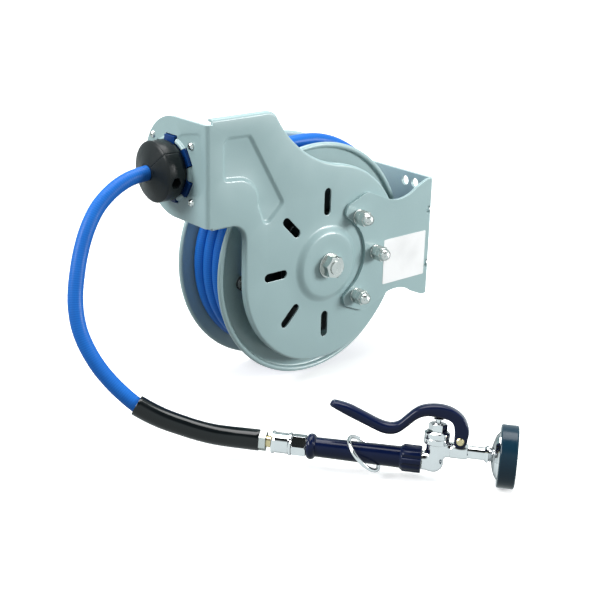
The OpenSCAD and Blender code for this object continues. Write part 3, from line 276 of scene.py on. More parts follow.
def area_light(name, place, width, height, power):
    """A rectangular lamp at a place, turned to the middle of the reel."""
    data = bpy.data.lights.new(name, "AREA")
    data.shape = "RECTANGLE"
    data.size, data.size_y = width, height
    data.energy = power
    lamp = bpy.data.objects.new(name, data)
    lamp.location = place
    lamp.rotation_euler = (LAMP_AIM - Vector(place)).to_track_quat("-Z", "Y").to_euler()
    scene.collection.objects.link(lamp)


area_light("left", (-2.0, 0.5, 1.2), 0.9, 0.9, 35)
area_light("right", (1.3, -1.9, 0.55), 0.8, 0.8, 51)
area_light("top", (-0.15, 0.20, 1.85), 1.9, 1.3, 46)

# %% [markdown]
# A sky is a shader too: its Generated coordinate is the direction that a ray leaves in. This one is
# brighter above the horizon than below it. Mirrors don't meet it, they have the dome. Where the camera
# sees it, past the end of the floor, it is plain white.
# %% Sky
world = bpy.data.worlds.new("studio")
world.use_nodes = True
sky = world.node_tree
height = sky.nodes.new("ShaderNodeSeparateXYZ")
brightness = sky.nodes.new("ShaderNodeMapRange")
for socket, number in (("From Min", -0.15), ("From Max", 0.1), ("To Min", 0.17), ("To Max", 0.37)):
    brightness.inputs[socket].default_value = number
sky.links.new(sky.nodes.new("ShaderNodeTexCoord").outputs["Generated"], height.inputs[0])
sky.links.new(height.outputs["Z"], brightness.inputs["Value"])
seen = sky.nodes.new("ShaderNodeMath")
seen.operation = "MAXIMUM"
sky.links.new(brightness.outputs["Result"], seen.inputs[0])
sky.links.new(sky.nodes.new("ShaderNodeLightPath").outputs["Is Camera Ray"], seen.inputs[1])
sky.links.new(seen.outputs[0], sky.nodes["Background"].inputs["Strength"])
sky.nodes["Background"].inputs["Color"].default_value = (0.95, 0.99, 1.0, 1)
world.cycles_visibility.glossy = False
scene.world = world
scene.view_settings.view_transform = "Standard"

# %% [markdown]
# ## The wound hose
# The drum holds several layers of hose. Only the outer layer and, in the gaps, the one below can be
# seen. Each layer is one unbroken helix: a turn stays in its lane for most of a revolution and
# then steps over to the next lane, where the crossing shows as a slanted run. The helix is worked
# out from the winding angle, as a winding machine would lay it.
# %% Winding angle to place
LANES, LANE_PITCH = 4, 17.2
WIND_R, LEAD_R = 116.75, 137.3
CROSS_FROM, CROSS_SPAN = 300, 100
LANE_0 = (LANES - 1) / 2 * LANE_PITCH
WIND_START, WIND_END = 60, CROSS_FROM + 360 * (LANES - 1)


def ease(t):
    """Goes from 0 to 1 with a soft start and a soft end."""
    t = min(1.0, max(0.0, t))
    return t * t * (3 - 2 * t)


def on_drum(angle, radius, across):
    a = math.radians(angle)
    return HUB + (radius * math.cos(a), across, radius * math.sin(a))


def along_drum(angle):
    a = math.radians(angle)
    return np.array((-math.sin(a), 0, math.cos(a)))


def lane_at(angle):
    """Place along the axle of the outer layer, by its winding angle."""
    turn = math.floor((angle - CROSS_FROM) / 360)
    return LANE_0 - LANE_PITCH * (turn + ease((angle - CROSS_FROM - 360 * turn) / CROSS_SPAN))


# %% Outer layer
wound = [on_drum(a, WIND_R, lane_at(a)) for a in range(WIND_START, WIND_END + 1, 5)]
last_tangent = along_drum(WIND_END)
run_in, run_out = wound[0] - 2 * HOSE_R * along_drum(WIND_START), wound[-1] + 2 * HOSE_R * last_tangent
wound_path = np.array([run_in, *wound, run_out])
outer_layer = tube("outer_layer", wound_path, HOSE_R)
fit(outer_layer, "drum", "hose_rubber", "hose_winding")
print("outer layer:", round(path_length(wound_path)), "mm")

# %% [markdown]
# The layer below winds back the other way, one hose thickness further in. At its end it climbs to
# where the outer layer begins. What lies deeper is never seen as hose, only as dark grooves, so a
# ribbed roll stands for it.
# %% Inner layer
INNER_R, CLIMB = 98.9, (-10, 52)
INNER_START, INNER_CROSS = -1290, -210


def inner_lane(angle):
    turn = math.floor((angle - INNER_CROSS) / 360)
    return LANE_0 + LANE_PITCH * (turn + ease((angle - INNER_CROSS - 360 * turn) / CROSS_SPAN) - 1)


inner = [on_drum(a, INNER_R, inner_lane(a)) for a in range(INNER_START, CLIMB[0], 5)]
top_r = math.hypot(WIND_R, 2 * HOSE_R)
for a in range(*CLIMB, 4):
    climbed = ease((a - CLIMB[0]) / (CLIMB[1] - CLIMB[0]))
    inner.append(on_drum(a, INNER_R + (top_r - INNER_R) * climbed, LANE_0))
inner.append(wound_path[0])
inner_layer = tube("inner_layer", np.array(inner), HOSE_R - 0.05, 16)


def turned(name, rows, steps=96):
    """A lathe piece on the drum's axle, from [radius, place along the axle] pairs in mm."""
    angles = np.arange(steps) * 2 * math.pi / steps
    rings = [[HUB + (r * math.cos(a), y, r * math.sin(a)) for a in angles] for r, y in rows + rows[:1]]
    return ring_skin(name, rings, close_ends=False)


ROLL_IN, ROLL_HALF, GROOVE_R, RIB = 75.4, 34, 90.6, 2.6
across_roll = np.linspace(-ROLL_HALF, ROLL_HALF, 41)
ribs = [(GROOVE_R + RIB * abs(math.cos(math.pi * y / LANE_PITCH)), y) for y in across_roll]
deep_roll = turned("deep_roll", [(ROLL_IN, -ROLL_HALF)] + ribs + [(ROLL_IN, ROLL_HALF)])
fit(inner_layer, "drum", "hose_rubber", "hose_core")
fit(deep_roll, "drum", "hose_rubber")
print("inner layer:", round(path_length(np.array(inner))), "mm")

# %% [markdown]
# ## The running hose
# From the last turn the hose climbs one layer, passes over the top of the drum and goes straight
# through the guide into the ball stop. It belongs to the frame here, since a rigid model can't pay
# hose out.
# %% Hose from drum to ball stop
lead_start = wound[-1] + 4 * HOSE_R * last_tangent
from_hub = lead_start - HUB
lead_a0 = math.degrees(math.atan2(from_hub[2], from_hub[0])) + 360
LEAD_JOIN, LEAD_TOP, LEAD_Y = 415, 455, -11
LEAD_STEP, LEAD_STEPS, LEAD_RISE = 13, 9, 59
lead = [wound_path[-1], lead_start]
lead_r0 = math.hypot(from_hub[0], from_hub[2])
for step in range(1, LEAD_STEPS + 1):
    t = step / LEAD_STEPS
    leaving = lead_r0 * (1 + 2 * t) * (1 - t) ** 2 + LEAD_RISE * t * (1 - t) ** 2
    radius = leaving + LEAD_R * t * t * (3 - 2 * t)
    across = from_hub[1] + (LEAD_Y - from_hub[1]) * ease(t)
    lead.append(on_drum(lead_a0 + (LEAD_JOIN - lead_a0) * t, radius, across))
lead += [on_drum(a, LEAD_R, LEAD_Y) for a in range(LEAD_JOIN + LEAD_STEP, LEAD_TOP + 1, LEAD_STEP)]
to_guide = [(-38, LEAD_Y, 134.5), (-70, -9, 131.5), (-105, -5, 128.5), (-140, -1.5, 126.5), (-163, 1, 126.5)]
lead += [HUB + p for p in to_guide]
lead.append(np.array(hose_points[0], float))
running_hose = tube("running_hose", smooth_path(lead, 6), HOSE_R)
fit(running_hose, "frame", "hose_rubber", "hose_lead")

# %% [markdown]
# ## The pressed frame sheet
# The frame is one sheet of steel, 3 mm thick. A press has raised a boss round the axle, sunk a
# recess into the arm, turned the edge back as a lip and bent the end round for the hose guide.
# Sheet metal is best made as one skin that gets its thickness at the end, because every fold then
# keeps the same gauge. The flat parts are triangulated between their outlines, and each fold is a
# strip of quads whose rings step round the bend.
# %% Sizes of the sheet
FRONT_Y, SHEET = -61.0, 3.0
DISC_R, ARM_TOP, ARM_LOW = 118.5, 189.5, 69.0
FLANGE_TOP, FLANGE_LOW, FLANGE_X = 184.0, 72.0, -171.0
BEND_R, ARM_END = 5.0, -163.5
BLEND_R, BLEND_A, ARM_CORNER, INNER_CORNER = 136.0, 80.7, 14.0, 19.0
LIP_DEEP, FOLD_R = 8.0, 3.0
GUIDE_Y, GUIDE_H = 3.5, 126.5


def bearing(a):
    return np.array((math.cos(math.radians(a)), math.sin(math.radians(a))))


def arc(centre, r, a0, a1, steps):
    return [np.array(centre) + r * bearing(a) for a in np.linspace(a0, a1, steps + 1)]


blend_c = (DISC_R + BLEND_R) * bearing(BLEND_A)
corner_off = math.sqrt((BLEND_R + ARM_CORNER) ** 2 - (blend_c[1] - ARM_TOP + ARM_CORNER) ** 2)
corner_c = np.array((blend_c[0] - corner_off, ARM_TOP - ARM_CORNER))
blend_end = math.degrees(math.atan2(corner_c[1] - blend_c[1], corner_c[0] - blend_c[0])) + 360


def sheet_outline(inset):
    """The edge of arm and disc as [x, z] about the axle, moved inwards by the inset, open at the bend."""
    return (
        [np.array((ARM_END, ARM_LOW + inset))]
        + arc((-DISC_R - INNER_CORNER, ARM_LOW - INNER_CORNER), INNER_CORNER + inset, 90, 0, 10)
        + arc((0, 0), DISC_R - inset, 180, 360 + BLEND_A, 130)
        + arc(blend_c, BLEND_R + inset, 180 + BLEND_A, blend_end, 30)
        + arc(corner_c, ARM_CORNER - inset, blend_end - 180, 90, 12)
        + [np.array((ARM_END, ARM_TOP - inset))]
    )


# %% Outlines that can grow and shrink


def rounded(points, steps=6):
    """A closed outline from [x, z, corner radius] rows."""
    out = []
    for i, (x, z, r) in enumerate(points):
        q = np.array((x, z), float)
        p = np.array(points[i - 1][:2], float)
        s = np.array(points[(i + 1) % len(points)][:2], float)
        u, v = (p - q) / np.linalg.norm(p - q), (s - q) / np.linalg.norm(s - q)
        half = math.acos(float(u @ v)) / 2
        centre = q + (u + v) / np.linalg.norm(u + v) * r / math.sin(half)
        a, b = (q + w * r / math.tan(half) - centre for w in (u, v))
        a0 = math.degrees(math.atan2(a[1], a[0]))
        swing = (math.degrees(math.atan2(b[1], b[0])) - a0 + 180) % 360 - 180
        out += arc(centre, r, a0, a0 + swing, steps)
    return out


def resampled(loop, step):
    """Even points round a closed outline."""
    loop = np.vstack([loop, loop[:1]])
    lengths = np.concatenate([[0], np.cumsum(np.linalg.norm(np.diff(loop, axis=0), axis=1))])
    places = np.linspace(0, lengths[-1], max(8, round(lengths[-1] / step)), endpoint=False)
    return np.column_stack([np.interp(places, lengths, loop[:, axis]) for axis in (0, 1)])


def grown(loop, by):
    """A closed outline moved outwards along its own smoothed normals."""
    loop = np.asarray(loop)
    tangent = np.roll(loop, -2, 0) - np.roll(loop, 2, 0)
    normal = np.column_stack([tangent[:, 1], -tangent[:, 0]])
    normal /= np.linalg.norm(normal, axis=1)[:, None]
    area = np.sum(loop[:, 0] * np.roll(loop[:, 1], -1) - np.roll(loop[:, 0], -1) * loop[:, 1])
    return loop + normal * by * (1 if area > 0 else -1)


# %% Skin builder


class SheetSkin:
    """Collects the points and faces of one skin. Points that coincide are joined at the end."""

    def __init__(self):
        self.build = bmesh.new()

    def strip(self, rings, closed):
        grid = [[self.build.verts.new(p * MM) for p in ring] for ring in rings]
        for a, b in zip(grid, grid[1:]):
            for k in range(len(a) if closed else len(a) - 1):
                n = (k + 1) % len(a)
                self.build.faces.new((a[k], a[n], b[n], b[k]))

    def flat(self, outer, holes, place, creases=()):
        """Triangles between an outline and its holes, put in space by place(point). They keep to creases."""
        points, edges = [], []
        for loop in [outer] + holes + list(creases):
            first = len(points)
            points += [Vector(p) for p in loop]
            edges += [(first + i, first + (i + 1) % len(loop)) for i in range(len(loop))]
        verts, _, faces, *_ = delaunay_2d_cdt(points, edges, [], 0, 1e-5)
        spots = [self.build.verts.new(place(np.array(v)) * MM) for v in verts]
        for face in faces:
            middle = np.mean([np.array(verts[i]) for i in face], axis=0)
            if any(within(middle, loop) for loop in holes) or not within(middle, outer):
                continue
            self.build.faces.new([spots[i] for i in face])

    def finish(self, name, thickness, inwards):
        """Joins the skin, turns it outwards and gives it its gauge in mm."""
        bmesh.ops.remove_doubles(self.build, verts=self.build.verts, dist=0.02 * MM)
        bmesh.ops.recalc_face_normals(self.build, faces=self.build.faces)
        self.build.faces.ensure_lookup_table()
        sample = max(self.build.faces, key=lambda f: f.calc_area())
        if sample.normal.dot(Vector(inwards)) > 0:
            bmesh.ops.reverse_faces(self.build, faces=self.build.faces)
        obj = new_object(name, mesh_of(self.build, name))
        shell = obj.modifiers.new("gauge", "SOLIDIFY")
        shell.thickness = thickness * MM
        shell.offset = -1
        shell.use_even_offset = True
        shell.use_quality_normals = True
        return obj


def within(point, loop):
    """Whether a point lies inside a closed outline, by counting the edges to its right."""
    x, z = point
    loop = np.asarray(loop)
    nxt = np.roll(loop, -1, 0)
    cross = (loop[:, 1] > z) != (nxt[:, 1] > z)
    (ax, az), (bx, bz) = loop[cross].T, nxt[cross].T
    run = ax + (z - az) * (bx - ax) / (bz - az)
    return int((run > x).sum()) % 2 == 1


def on_sheet(depth):
    """Places [x, z] points on the front of the sheet, at a depth behind it in mm."""
    return lambda p: HUB + (p[0], FRONT_Y + depth, p[1])


# %% [markdown]
# The raised and sunk places are made of nested outlines. Each ring of the slope has its own depth,
# so the bend at the top and at the foot of the slope is round, as pressed steel is.
# %% Disc, boss, slots and recess
skin = SheetSkin()
slope = [(t, ease(t)) for t in np.linspace(0, 1, 9)]


def quarter_bend(r):
    """Steps round a quarter circle, as [how far in, how deep] pairs."""
    return [(r * (1 - math.sin(phi)), r * (1 - math.cos(phi))) for phi in np.radians(range(0, 91, 15))]


fold = [[on_sheet(deep)(p) for p in sheet_outline(inset)] for inset, deep in quarter_bend(FOLD_R)]
fold.append([on_sheet(LIP_DEEP)(p) for p in sheet_outline(0)])
skin.strip(fold, closed=False)

BOSS_FOOT, BOSS_TOP, BOSS_H, AXLE_HOLE = 47.5, 36.5, 5.0, 8.25
circle = np.array([bearing(a) for a in np.linspace(0, 360, 120, endpoint=False)])
boss_rings = []
for t, k in slope:
    r = BOSS_FOOT + (BOSS_TOP - BOSS_FOOT) * t
    boss_rings.append([on_sheet(-BOSS_H * k)(p * r) for p in circle])
boss_rings += [[on_sheet(-BOSS_H)(p * r) for p in circle] for r in (30, 20, AXLE_HOLE)]
skin.strip(boss_rings, closed=True)

SLOT_IN, SLOT_OUT, SLOT_W = 59.0, 91.5, 10.0
SLOT_EDGE = ((1.3, 0), (0.6, 0.06), (0.0, 0.25))
slot_rims = []
for i in range(8):
    along, across = bearing(45 * i), bearing(45 * i + 90)
    rim = []
    for end, a0 in ((SLOT_OUT - SLOT_W / 2, -90), (SLOT_IN + SLOT_W / 2, 90)):
        for a in np.linspace(a0, a0 + 180, 9):
            c, s = bearing(a)
            rim.append(along * (end + c * SLOT_W / 2) + across * (s * SLOT_W / 2))
    rim = resampled(np.array(rim), 1.6)
    slot_rims.append(grown(rim, SLOT_EDGE[0][0]))
    skin.strip([[on_sheet(deep)(p) for p in grown(rim, out)] for out, deep in SLOT_EDGE], closed=True)

RECESS_DEEP, RECESS_SLOPE = 3.0, 2.8
recess = (
    arc((-139.5, 158.5), 8.5, 180, 90, 6)
    + rounded([(-148, 167, 6), (-113.5, 166.5, 4), (-66, 85, 4.5), (-91, 62, 6), (-101, 84, 3)])[7:28]
    + arc((-130, 92), 29, -8, 90, 12)
    + [np.array((-143, 122.0))]
    + arc((-143, 127.0), 5, 260, 180, 4)
)
recess = resampled(recess, 2.2)
recess_rings = []
for t, k in slope:
    recess_rings.append([on_sheet(RECESS_DEEP * k)(p) for p in grown(recess, RECESS_SLOPE * (1 - 2 * t))])
skin.strip(recess_rings, closed=True)
skin.flat(grown(recess, -RECESS_SLOPE), [], on_sheet(RECESS_DEEP))

# %% Flat of the arm and disc
bend_rows = np.linspace(FLANGE_LOW, FLANGE_TOP, 15)
edge = sheet_outline(FOLD_R)
edge += [np.array((ARM_END, FLANGE_TOP))] + [np.array((FLANGE_X + BEND_R, z)) for z in bend_rows[::-1]]
skin.flat(edge, [circle * BOSS_FOOT, grown(recess, RECESS_SLOPE)] + slot_rims, on_sheet(0))

# %% [markdown]
# The arm turns the corner on a 5 mm radius and becomes the flange for the hose guide. Its outer end
# is a half circle. The guide sits in a notched opening, and between the notches the metal is
# raised in small lobes that stiffen the rim.
# %% Bend and guide flange
FLANGE_MID = -1.0
half = (FLANGE_TOP - FLANGE_LOW) / 2
bend = [[HUB + (FLANGE_X + x, FRONT_Y + y, z) for z in bend_rows] for x, y in quarter_bend(BEND_R)]
skin.strip(bend, closed=False)
DISH_SIDES = ((-1, 0, 49), (0, -1, -104), (0.204, 0.979, 159.9), (1, 0, -9))
DISH_ROUND, DISH_DEEP, DISH_SLOPE = 7.0, 0.6, 1.5


def dish_depth(p):
    """Depth at [y, z] of the shallow pressed field beside the opening, from its four sides."""
    beyond = np.array([a * p[0] + b * p[1] - c + DISH_ROUND for a, b, c in DISH_SIDES])
    distance = math.hypot(*np.maximum(beyond, 0)) + min(max(beyond), 0) - DISH_ROUND
    return DISH_DEEP * ease((DISH_SLOPE - distance) / (2 * DISH_SLOPE))


def on_flange(out):
    """Places [y, z] points on the outer face of the flange, raised by out mm."""
    return lambda p: HUB + (FLANGE_X - out + dish_depth(p), p[0], p[1])


edge = [np.array((FRONT_Y + BEND_R, z)) for z in bend_rows[::-1]]
edge += arc((FLANGE_MID, FLANGE_LOW + half), half, -90, 90, 40)
TAB_W, TAB_R, NOTCH_GAP, LOBE_R, BORE_R = 19.0, 36.5, 1.0, 36.2, 31.5
LOBE_RISE = ((LOBE_R, 0), (35.9, 0.8), (35.2, 1.9), (34.2, 2.7), (33.0, 3.0), (BORE_R, 3.0))
side = TAB_W / 2 + NOTCH_GAP
guide_c = np.array((GUIDE_Y, GUIDE_H))
opening = []
for k in range(6):
    out, across = bearing(30 + 60 * k), bearing(120 + 60 * k)
    opening += [guide_c + out * (TAB_R + NOTCH_GAP) + across * s for s in (-side, side)]
    lean = math.degrees(math.asin(side / LOBE_R))
    a0, a1 = 30 + 60 * k + lean, 90 + 60 * k - lean
    opening += arc(guide_c, LOBE_R, a0, a1, 6)
    rings = []
    for r, lift in LOBE_RISE:
        lean = math.degrees(math.asin(side / r))
        rings.append([on_flange(lift)(p) for p in arc(guide_c, r, 30 + 60 * k + lean, 90 + 60 * k - lean, 6)])
    skin.strip(rings, closed=False)
dish = resampled(rounded([(-49, 104, 7), (-9, 104, 7), (-9, 165.2, 7), (-49, 173.5, 7)]), 3)
creases = [grown(dish, DISH_SLOPE * k) for k in (1, 0.5, 0, -0.5, -1)]
skin.flat(edge, [opening], on_flange(0), creases)

# %% Thickness of the sheet
frame_sheet = skin.finish("frame_sheet", SHEET - 0.1, (0, 1, 0))
fit(frame_sheet, "frame", "frame_paint", "frame_plate")
print("sheet outline:", len(sheet_outline(0)), "points, guide opening:", len(opening))

# %% [markdown]
# ## Applying modifiers in code
# A modifier is a recipe that Blender works out again at every change. For a piece whose shading needs
# creases at its new edges, the result is turned into a plain mesh once, and the creases are set on it.
# %% Bake a piece's modifiers


def applied(obj):
    """Replaces an object's mesh by what its modifiers make of it."""
    graph = bpy.context.evaluated_depsgraph_get()
    mesh = bpy.data.meshes.new_from_object(obj.evaluated_get(graph))
    obj.modifiers.clear()
    obj.data = mesh
    shaded(mesh)


def soften(obj, width, angle=40):
    """Rounds sharp edges by a width in mm. CAD meshes are split at creases, so they are welded first."""
    weld = obj.modifiers.new("weld", "WELD")
    weld.merge_threshold = 0.01 * MM
    bevel = obj.modifiers.new("soften", "BEVEL")
    bevel.width = width * MM
    bevel.segments = 2
    bevel.limit_method = "ANGLE"
    bevel.angle_limit = math.radians(angle)
    bevel.harden_normals = True
    bevel.use_clamp_overlap = True


applied(frame_sheet)
soften(frame_sheet, 0.45, angle=50)
print("frame sheet:", len(frame_sheet.data.polygons), "faces")

# %% [markdown]
# ## The squeeze lever
# The lever is a casting dipped in navy vinyl. Its handle is oval in section with a blunt rounded tip,
# and it grows boxy towards the fork that straddles the pivot lug. A loft does this well: each
# station has a top and an underside point and a superellipse between them, whose exponent turns
# from oval to box along the length.
# %% Places in the valve's own frame
VALVE_POS = np.array((-331.0, -226.0, -125.0))
turn = Matrix.Identity(3)
for angle, axis in ((-49.7, "Z"), (1.4, "Y"), (-11.5, "X")):
    turn = turn @ Matrix.Rotation(math.radians(angle), 3, axis)
VALVE_TURN = np.array([list(row) for row in turn])


def at_valve(x, y, z):
    """A point in mm: x along the grip towards the spray head, z up through the lever."""
    return VALVE_POS + VALVE_TURN @ np.array((x, y, z), float)


# %% Lever stations
LEVER_W, LEVER_TIP, TIP_ROUND = 16.0, 15.0, 8
LEVER_STEPS, OVAL, BOX, BOX_FROM, BOX_OVER = 3, 2.5, 7.0, 15, 3.5
lever_pairs = [
    ((15.4, 47.2), (15.4, 46.8)), ((17, 50.4), (17, 44.6)), ((20, 51.5), (20, 43.4)),
    ((28, 50.6), (28, 39.8)), ((36, 49), (37, 36)), ((44, 46.1), (45, 32.8)), ((52.5, 42.7), (54, 29.4)),
    ((61, 39.2), (65, 25.2)), ((69, 36.4), (73, 23)), ((75, 35.2), (80, 23)), ((81, 35.4), (86, 24.6)),
    ((87, 38), (91, 28)), ((93.6, 44.8), (97, 33.6)), ((101, 52), (103, 39.6)), ((108.6, 56.6), (109, 43.8)),
    ((118, 59), (116, 45.8)), ((129, 59.2), (124, 45.9)), ((140, 56.4), (132, 45.7)),
    ((149.4, 50.7), (138.5, 44)), ((155.2, 43), (142, 40)), ((158, 34), (143.5, 33)),
    ((157.3, 27), (143.7, 27)), ((157.1, 24), (143.7, 24)), ((156.4, 21.8), (143.8, 21.9)),
    ((155, 20.1), (144.2, 20.2)), ((153.6, 19.4), (145.2, 19.4)),
]
rows = [np.array([[x, 0, z] for x, z in side], float) for side in zip(*lever_pairs)]
top_line, under_line = (catmull_rom(row, [LEVER_STEPS] * (len(row) - 1)) for row in rows)
lever_rings = []
for i, (top, under) in enumerate(zip(top_line, under_line)):
    middle, half_high = (top + under) / 2, (top - under) / 2
    from_tip = max(0.0, middle[0] - LEVER_TIP)
    half_wide = LEVER_W / 2 * math.sqrt(1 - max(0.0, 1 - from_tip / TIP_ROUND) ** 2)
    boxy = OVAL + (BOX - OVAL) * ease((i / LEVER_STEPS - BOX_FROM) / BOX_OVER)
    ring = []
    for phi in np.linspace(0, 360, 40, endpoint=False):
        c, s = bearing(phi)
        c, s = math.copysign(abs(c) ** (2 / boxy), c), math.copysign(abs(s) ** (2 / boxy), s)
        p = middle + half_high * s
        ring.append(at_valve(p[0], max(0.3, half_wide) * c, p[2]))
    lever_rings.append(ring)
lever_skin = ring_skin("lever_skin", lever_rings)
print("lever:", len(lever_rings), "stations")

# %% [markdown]
# The fork's slot and the round relief over the outlet pipe are cut with boolean modifiers. The
# cutters are plain solids that are thrown away afterwards. The relief is cut twice, once for each
# end of the lever's swing.
# %% Cut the fork
PIVOT, OUTLET_Z, RELIEF_R, SQUEEZE = (150.0, 25.0), 13.5, 8.4, 7.5


def bar(x0, x1, half_y, z0, z1):
    """A box in the valve's frame, as two rings."""
    corners = ((-half_y, z0), (half_y, z0), (half_y, z1), (-half_y, z1))
    return [[at_valve(x, y, z) for y, z in corners] for x in (x0, x1)]


def rod(x0, x1, z, r, swing):
    """A round bar along x at height z, swung about the lever's pivot."""
    c, s = bearing(-swing)
    rings = []
    for x in (x0, x1):
        ring = []
        for b in np.linspace(0, 360, 40, endpoint=False):
            cb, sb = r * bearing(b)
            dx, dz = x - PIVOT[0], z + sb - PIVOT[1]
            ring.append(at_valve(PIVOT[0] + c * dx - s * dz, cb, PIVOT[1] + s * dx + c * dz))
        rings.append(ring)
    return rings


cutters = [
    ring_skin("slot_cut", bar(138, 168, 3.3, 0, 33)),
    ring_skin("rest_cut", rod(138, 170, OUTLET_Z, RELIEF_R, 0)),
    ring_skin("squeeze_cut", rod(138, 170, OUTLET_Z, RELIEF_R, SQUEEZE)),
]
for cut in cutters:
    op = lever_skin.modifiers.new(cut.name, "BOOLEAN")
    op.operation, op.solver, op.object = "DIFFERENCE", "EXACT", cut
applied(lever_skin)
for cut in cutters:
    bpy.data.objects.remove(cut)
fit(lever_skin, "lever_body", "navy_grip", "lever")
print("lever after cutting:", len(lever_skin.data.polygons), "faces")

# %% [markdown]
# ## The cast valve body
# The valve body is one casting: an inlet stub, an upright barrel and an outlet, all flowing into each
# other with generous fillets, then turned where the collar and the outlet pipe are. Fillets between
# round forms are hard to model edge by edge. A distance field does it in one line: each form
# reports how far a point is from its skin, and a smooth minimum melts the forms together. A plain
# maximum with a negative distance cuts, and makes the two wells for the stem and its spring. The skin
# is then laid through the places where the distance is zero, one point in each cell of a grid.
# %% Distance to the forms
BODY_X, BODY_NECK, INLET_X, TOP_Z = 126.5, 8.3, 113.3, 23
WELLS = ((4.5, 0.2), (8, 15))


def melt(a, b, reach):
    """The smaller of two distances, rounded over where they are about equal."""
    h = np.clip(1 - np.abs(a - b) / reach, 0, None)
    return np.minimum(a, b) - h * h * reach / 4


def bone(p, a, b, ra, rb):
    """Distance to a round bar from a to b whose radius goes from ra to rb."""
    a, b = np.array(a, float), np.array(b, float)
    t = np.clip((p - a) @ (b - a) / ((b - a) @ (b - a)), 0, 1)
    return np.linalg.norm(p - a - t[..., None] * (b - a), axis=-1) - (ra + (rb - ra) * t)


def casting(p):
    """Distance to the whole valve body, with its two wells cut out."""
    stub = bone(p, (106, 0, 0), (BODY_X - 3, 0, -0.6), 9.8, 9.3)
    barrel = bone(p, (BODY_X - 0.5, 0, -1.3), (BODY_X, 0, 12), 8.7, BODY_NECK)
    flare = bone(p, (BODY_X, 0, 12), (BODY_X, 0, 20), BODY_NECK, 10.6)
    outlet = bone(p, (BODY_X, 0, OUTLET_Z), (150, 0, OUTLET_Z), 7.9, 7.4)
    whole = melt(melt(melt(stub, barrel, 5), flare, 2), outlet, 5)
    from_axis = np.hypot(p[..., 0] - BODY_X, p[..., 1])
    wells = [-np.maximum(from_axis - r, floor_z - p[..., 2]) for r, floor_z in WELLS]
    return np.maximum.reduce([whole, INLET_X - p[..., 0], p[..., 2] - TOP_Z, *wells])


# %% Skin through the zero places
NUDGE = 0.01


def neighbours(axis, rest):
    """Two indexes that pair each place of a grid with the next one along an axis."""
    return [tuple(along if a == axis else rest for a in range(3)) for along in (slice(0, -1), slice(1, None))]


def cast_skin(field, low, high, step):
    """Points and faces of the skin where the field is zero, inside a box, in mm."""
    axes = [np.arange(a, b + step, step) for a, b in zip(low, high)]
    grid = np.stack(np.meshgrid(*axes, indexing="ij"), -1)
    value = field(grid)
    inside = value < 0
    cells = tuple(n - 1 for n in value.shape)
    spot, count = np.zeros(cells + (3,)), np.zeros(cells)
    for axis in range(3):
        near, next_ = neighbours(axis, slice(None))
        cross = inside[near] != inside[next_]
        t = np.where(cross, value[near] / np.where(cross, value[near] - value[next_], 1), 0)
        point = grid[near] + t[..., None] * (grid[next_] - grid[near])
        others = [a for a in range(3) if a != axis]
        for shift in ((0, 0), (0, 1), (1, 0), (1, 1)):
            part = [slice(None)] * 3
            for other, by in zip(others, shift):
                part[other] = slice(by, cross.shape[other] - 1 + by)
            part = tuple(part)
            spot += np.where(cross[part][..., None], point[part], 0)
            count += cross[part]
    used = count > 0
    number = np.full(used.shape, -1)
    number[used] = np.arange(int(used.sum()))
    points = spot[used] / count[used][:, None]
    faces = []
    for axis in range(3):
        u, v = (axis + 1) % 3, (axis + 2) % 3
        near, next_ = neighbours(axis, slice(1, -1))
        first = inside[near]
        for place in np.argwhere(first != inside[next_]):
            ring = []
            for du, dv in ((0, 0), (1, 0), (1, 1), (0, 1)):
                cell = place.copy()
                cell[u] += du
                cell[v] += dv
                ring.append(int(number[tuple(cell)]))
            faces.append(ring if first[tuple(place)] else ring[::-1])
    for _ in range(4):
        nudges = np.eye(3) * NUDGE
        steep = np.stack([(field(points + d) - field(points - d)) / (2 * NUDGE) for d in nudges], -1)
        points = points - (field(points) / (steep**2).sum(-1))[:, None] * steep
    return points, faces


cast_points, cast_faces = cast_skin(casting, (111, -13, -13), (152, 13, 25), 0.7)
print("casting:", len(cast_points), "points")

# %% [markdown]
# The collar under the bonnet and the end of the outlet come off a lathe, so they keep crisp edges. The
# lug that carries the lever is a flat web. These three sink into the casting and join its mesh.
# %% Collar, outlet pipe and lug


def lathe_rings(rows, place, steps=72):
    """Rings from [radius, place along] pairs, each point put in space by place(radius, angle, along)."""
    angles = np.linspace(0, 2 * math.pi, steps, endpoint=False)
    return [[place(r, a, s) for a in angles] for r, s in rows]


collar_rows = [
    (8, 17.2), (9, 17.2), (12.2, 18.4), (12.75, 18.75), (12.9, 19.3),
    (12.9, 23.8), (12.7, 24.3), (12.2, 24.5), (8, 24.5), (8, 17.2),
]
pipe_rows = [(7, 140.8), (7.7, 140.8), (8, 141.1), (8, 157.4), (7.6, 158), (4.2, 158)]
collar = lathe_rings(collar_rows, lambda r, a, z: at_valve(BODY_X + r * math.cos(a), r * math.sin(a), z))
pipe = lathe_rings(pipe_rows, lambda r, a, x: at_valve(x, r * math.cos(a), OUTLET_Z + r * math.sin(a)))
lug_side = [
    (144.2, OUTLET_Z), (155.8, OUTLET_Z), (154.4, 27.0), (153.3, 28.6),
    (151.6, 29.2), (148.4, 29.2), (146.7, 28.6), (145.6, 27.0),
]
lug = []
for y, k in ((-3, 0.975), (-2.7, 1), (2.7, 1), (3, 0.975)):
    lug.append([at_valve(150 + (x - 150) * k, y, OUTLET_Z + (z - OUTLET_Z) * k) for x, z in lug_side])
parts = [ring_skin("turned_part", collar, close_ends=False)]
parts += [ring_skin("turned_part", rings) for rings in (pipe, lug)]
build = bmesh.new()
verts = [build.verts.new(at_valve(*p) * MM) for p in cast_points]
for ring in cast_faces:
    build.faces.new([verts[i] for i in ring])
for part in parts:
    build.from_mesh(part.data)
    bpy.data.objects.remove(part)
bmesh.ops.remove_doubles(build, verts=build.verts, dist=0.001 * MM)
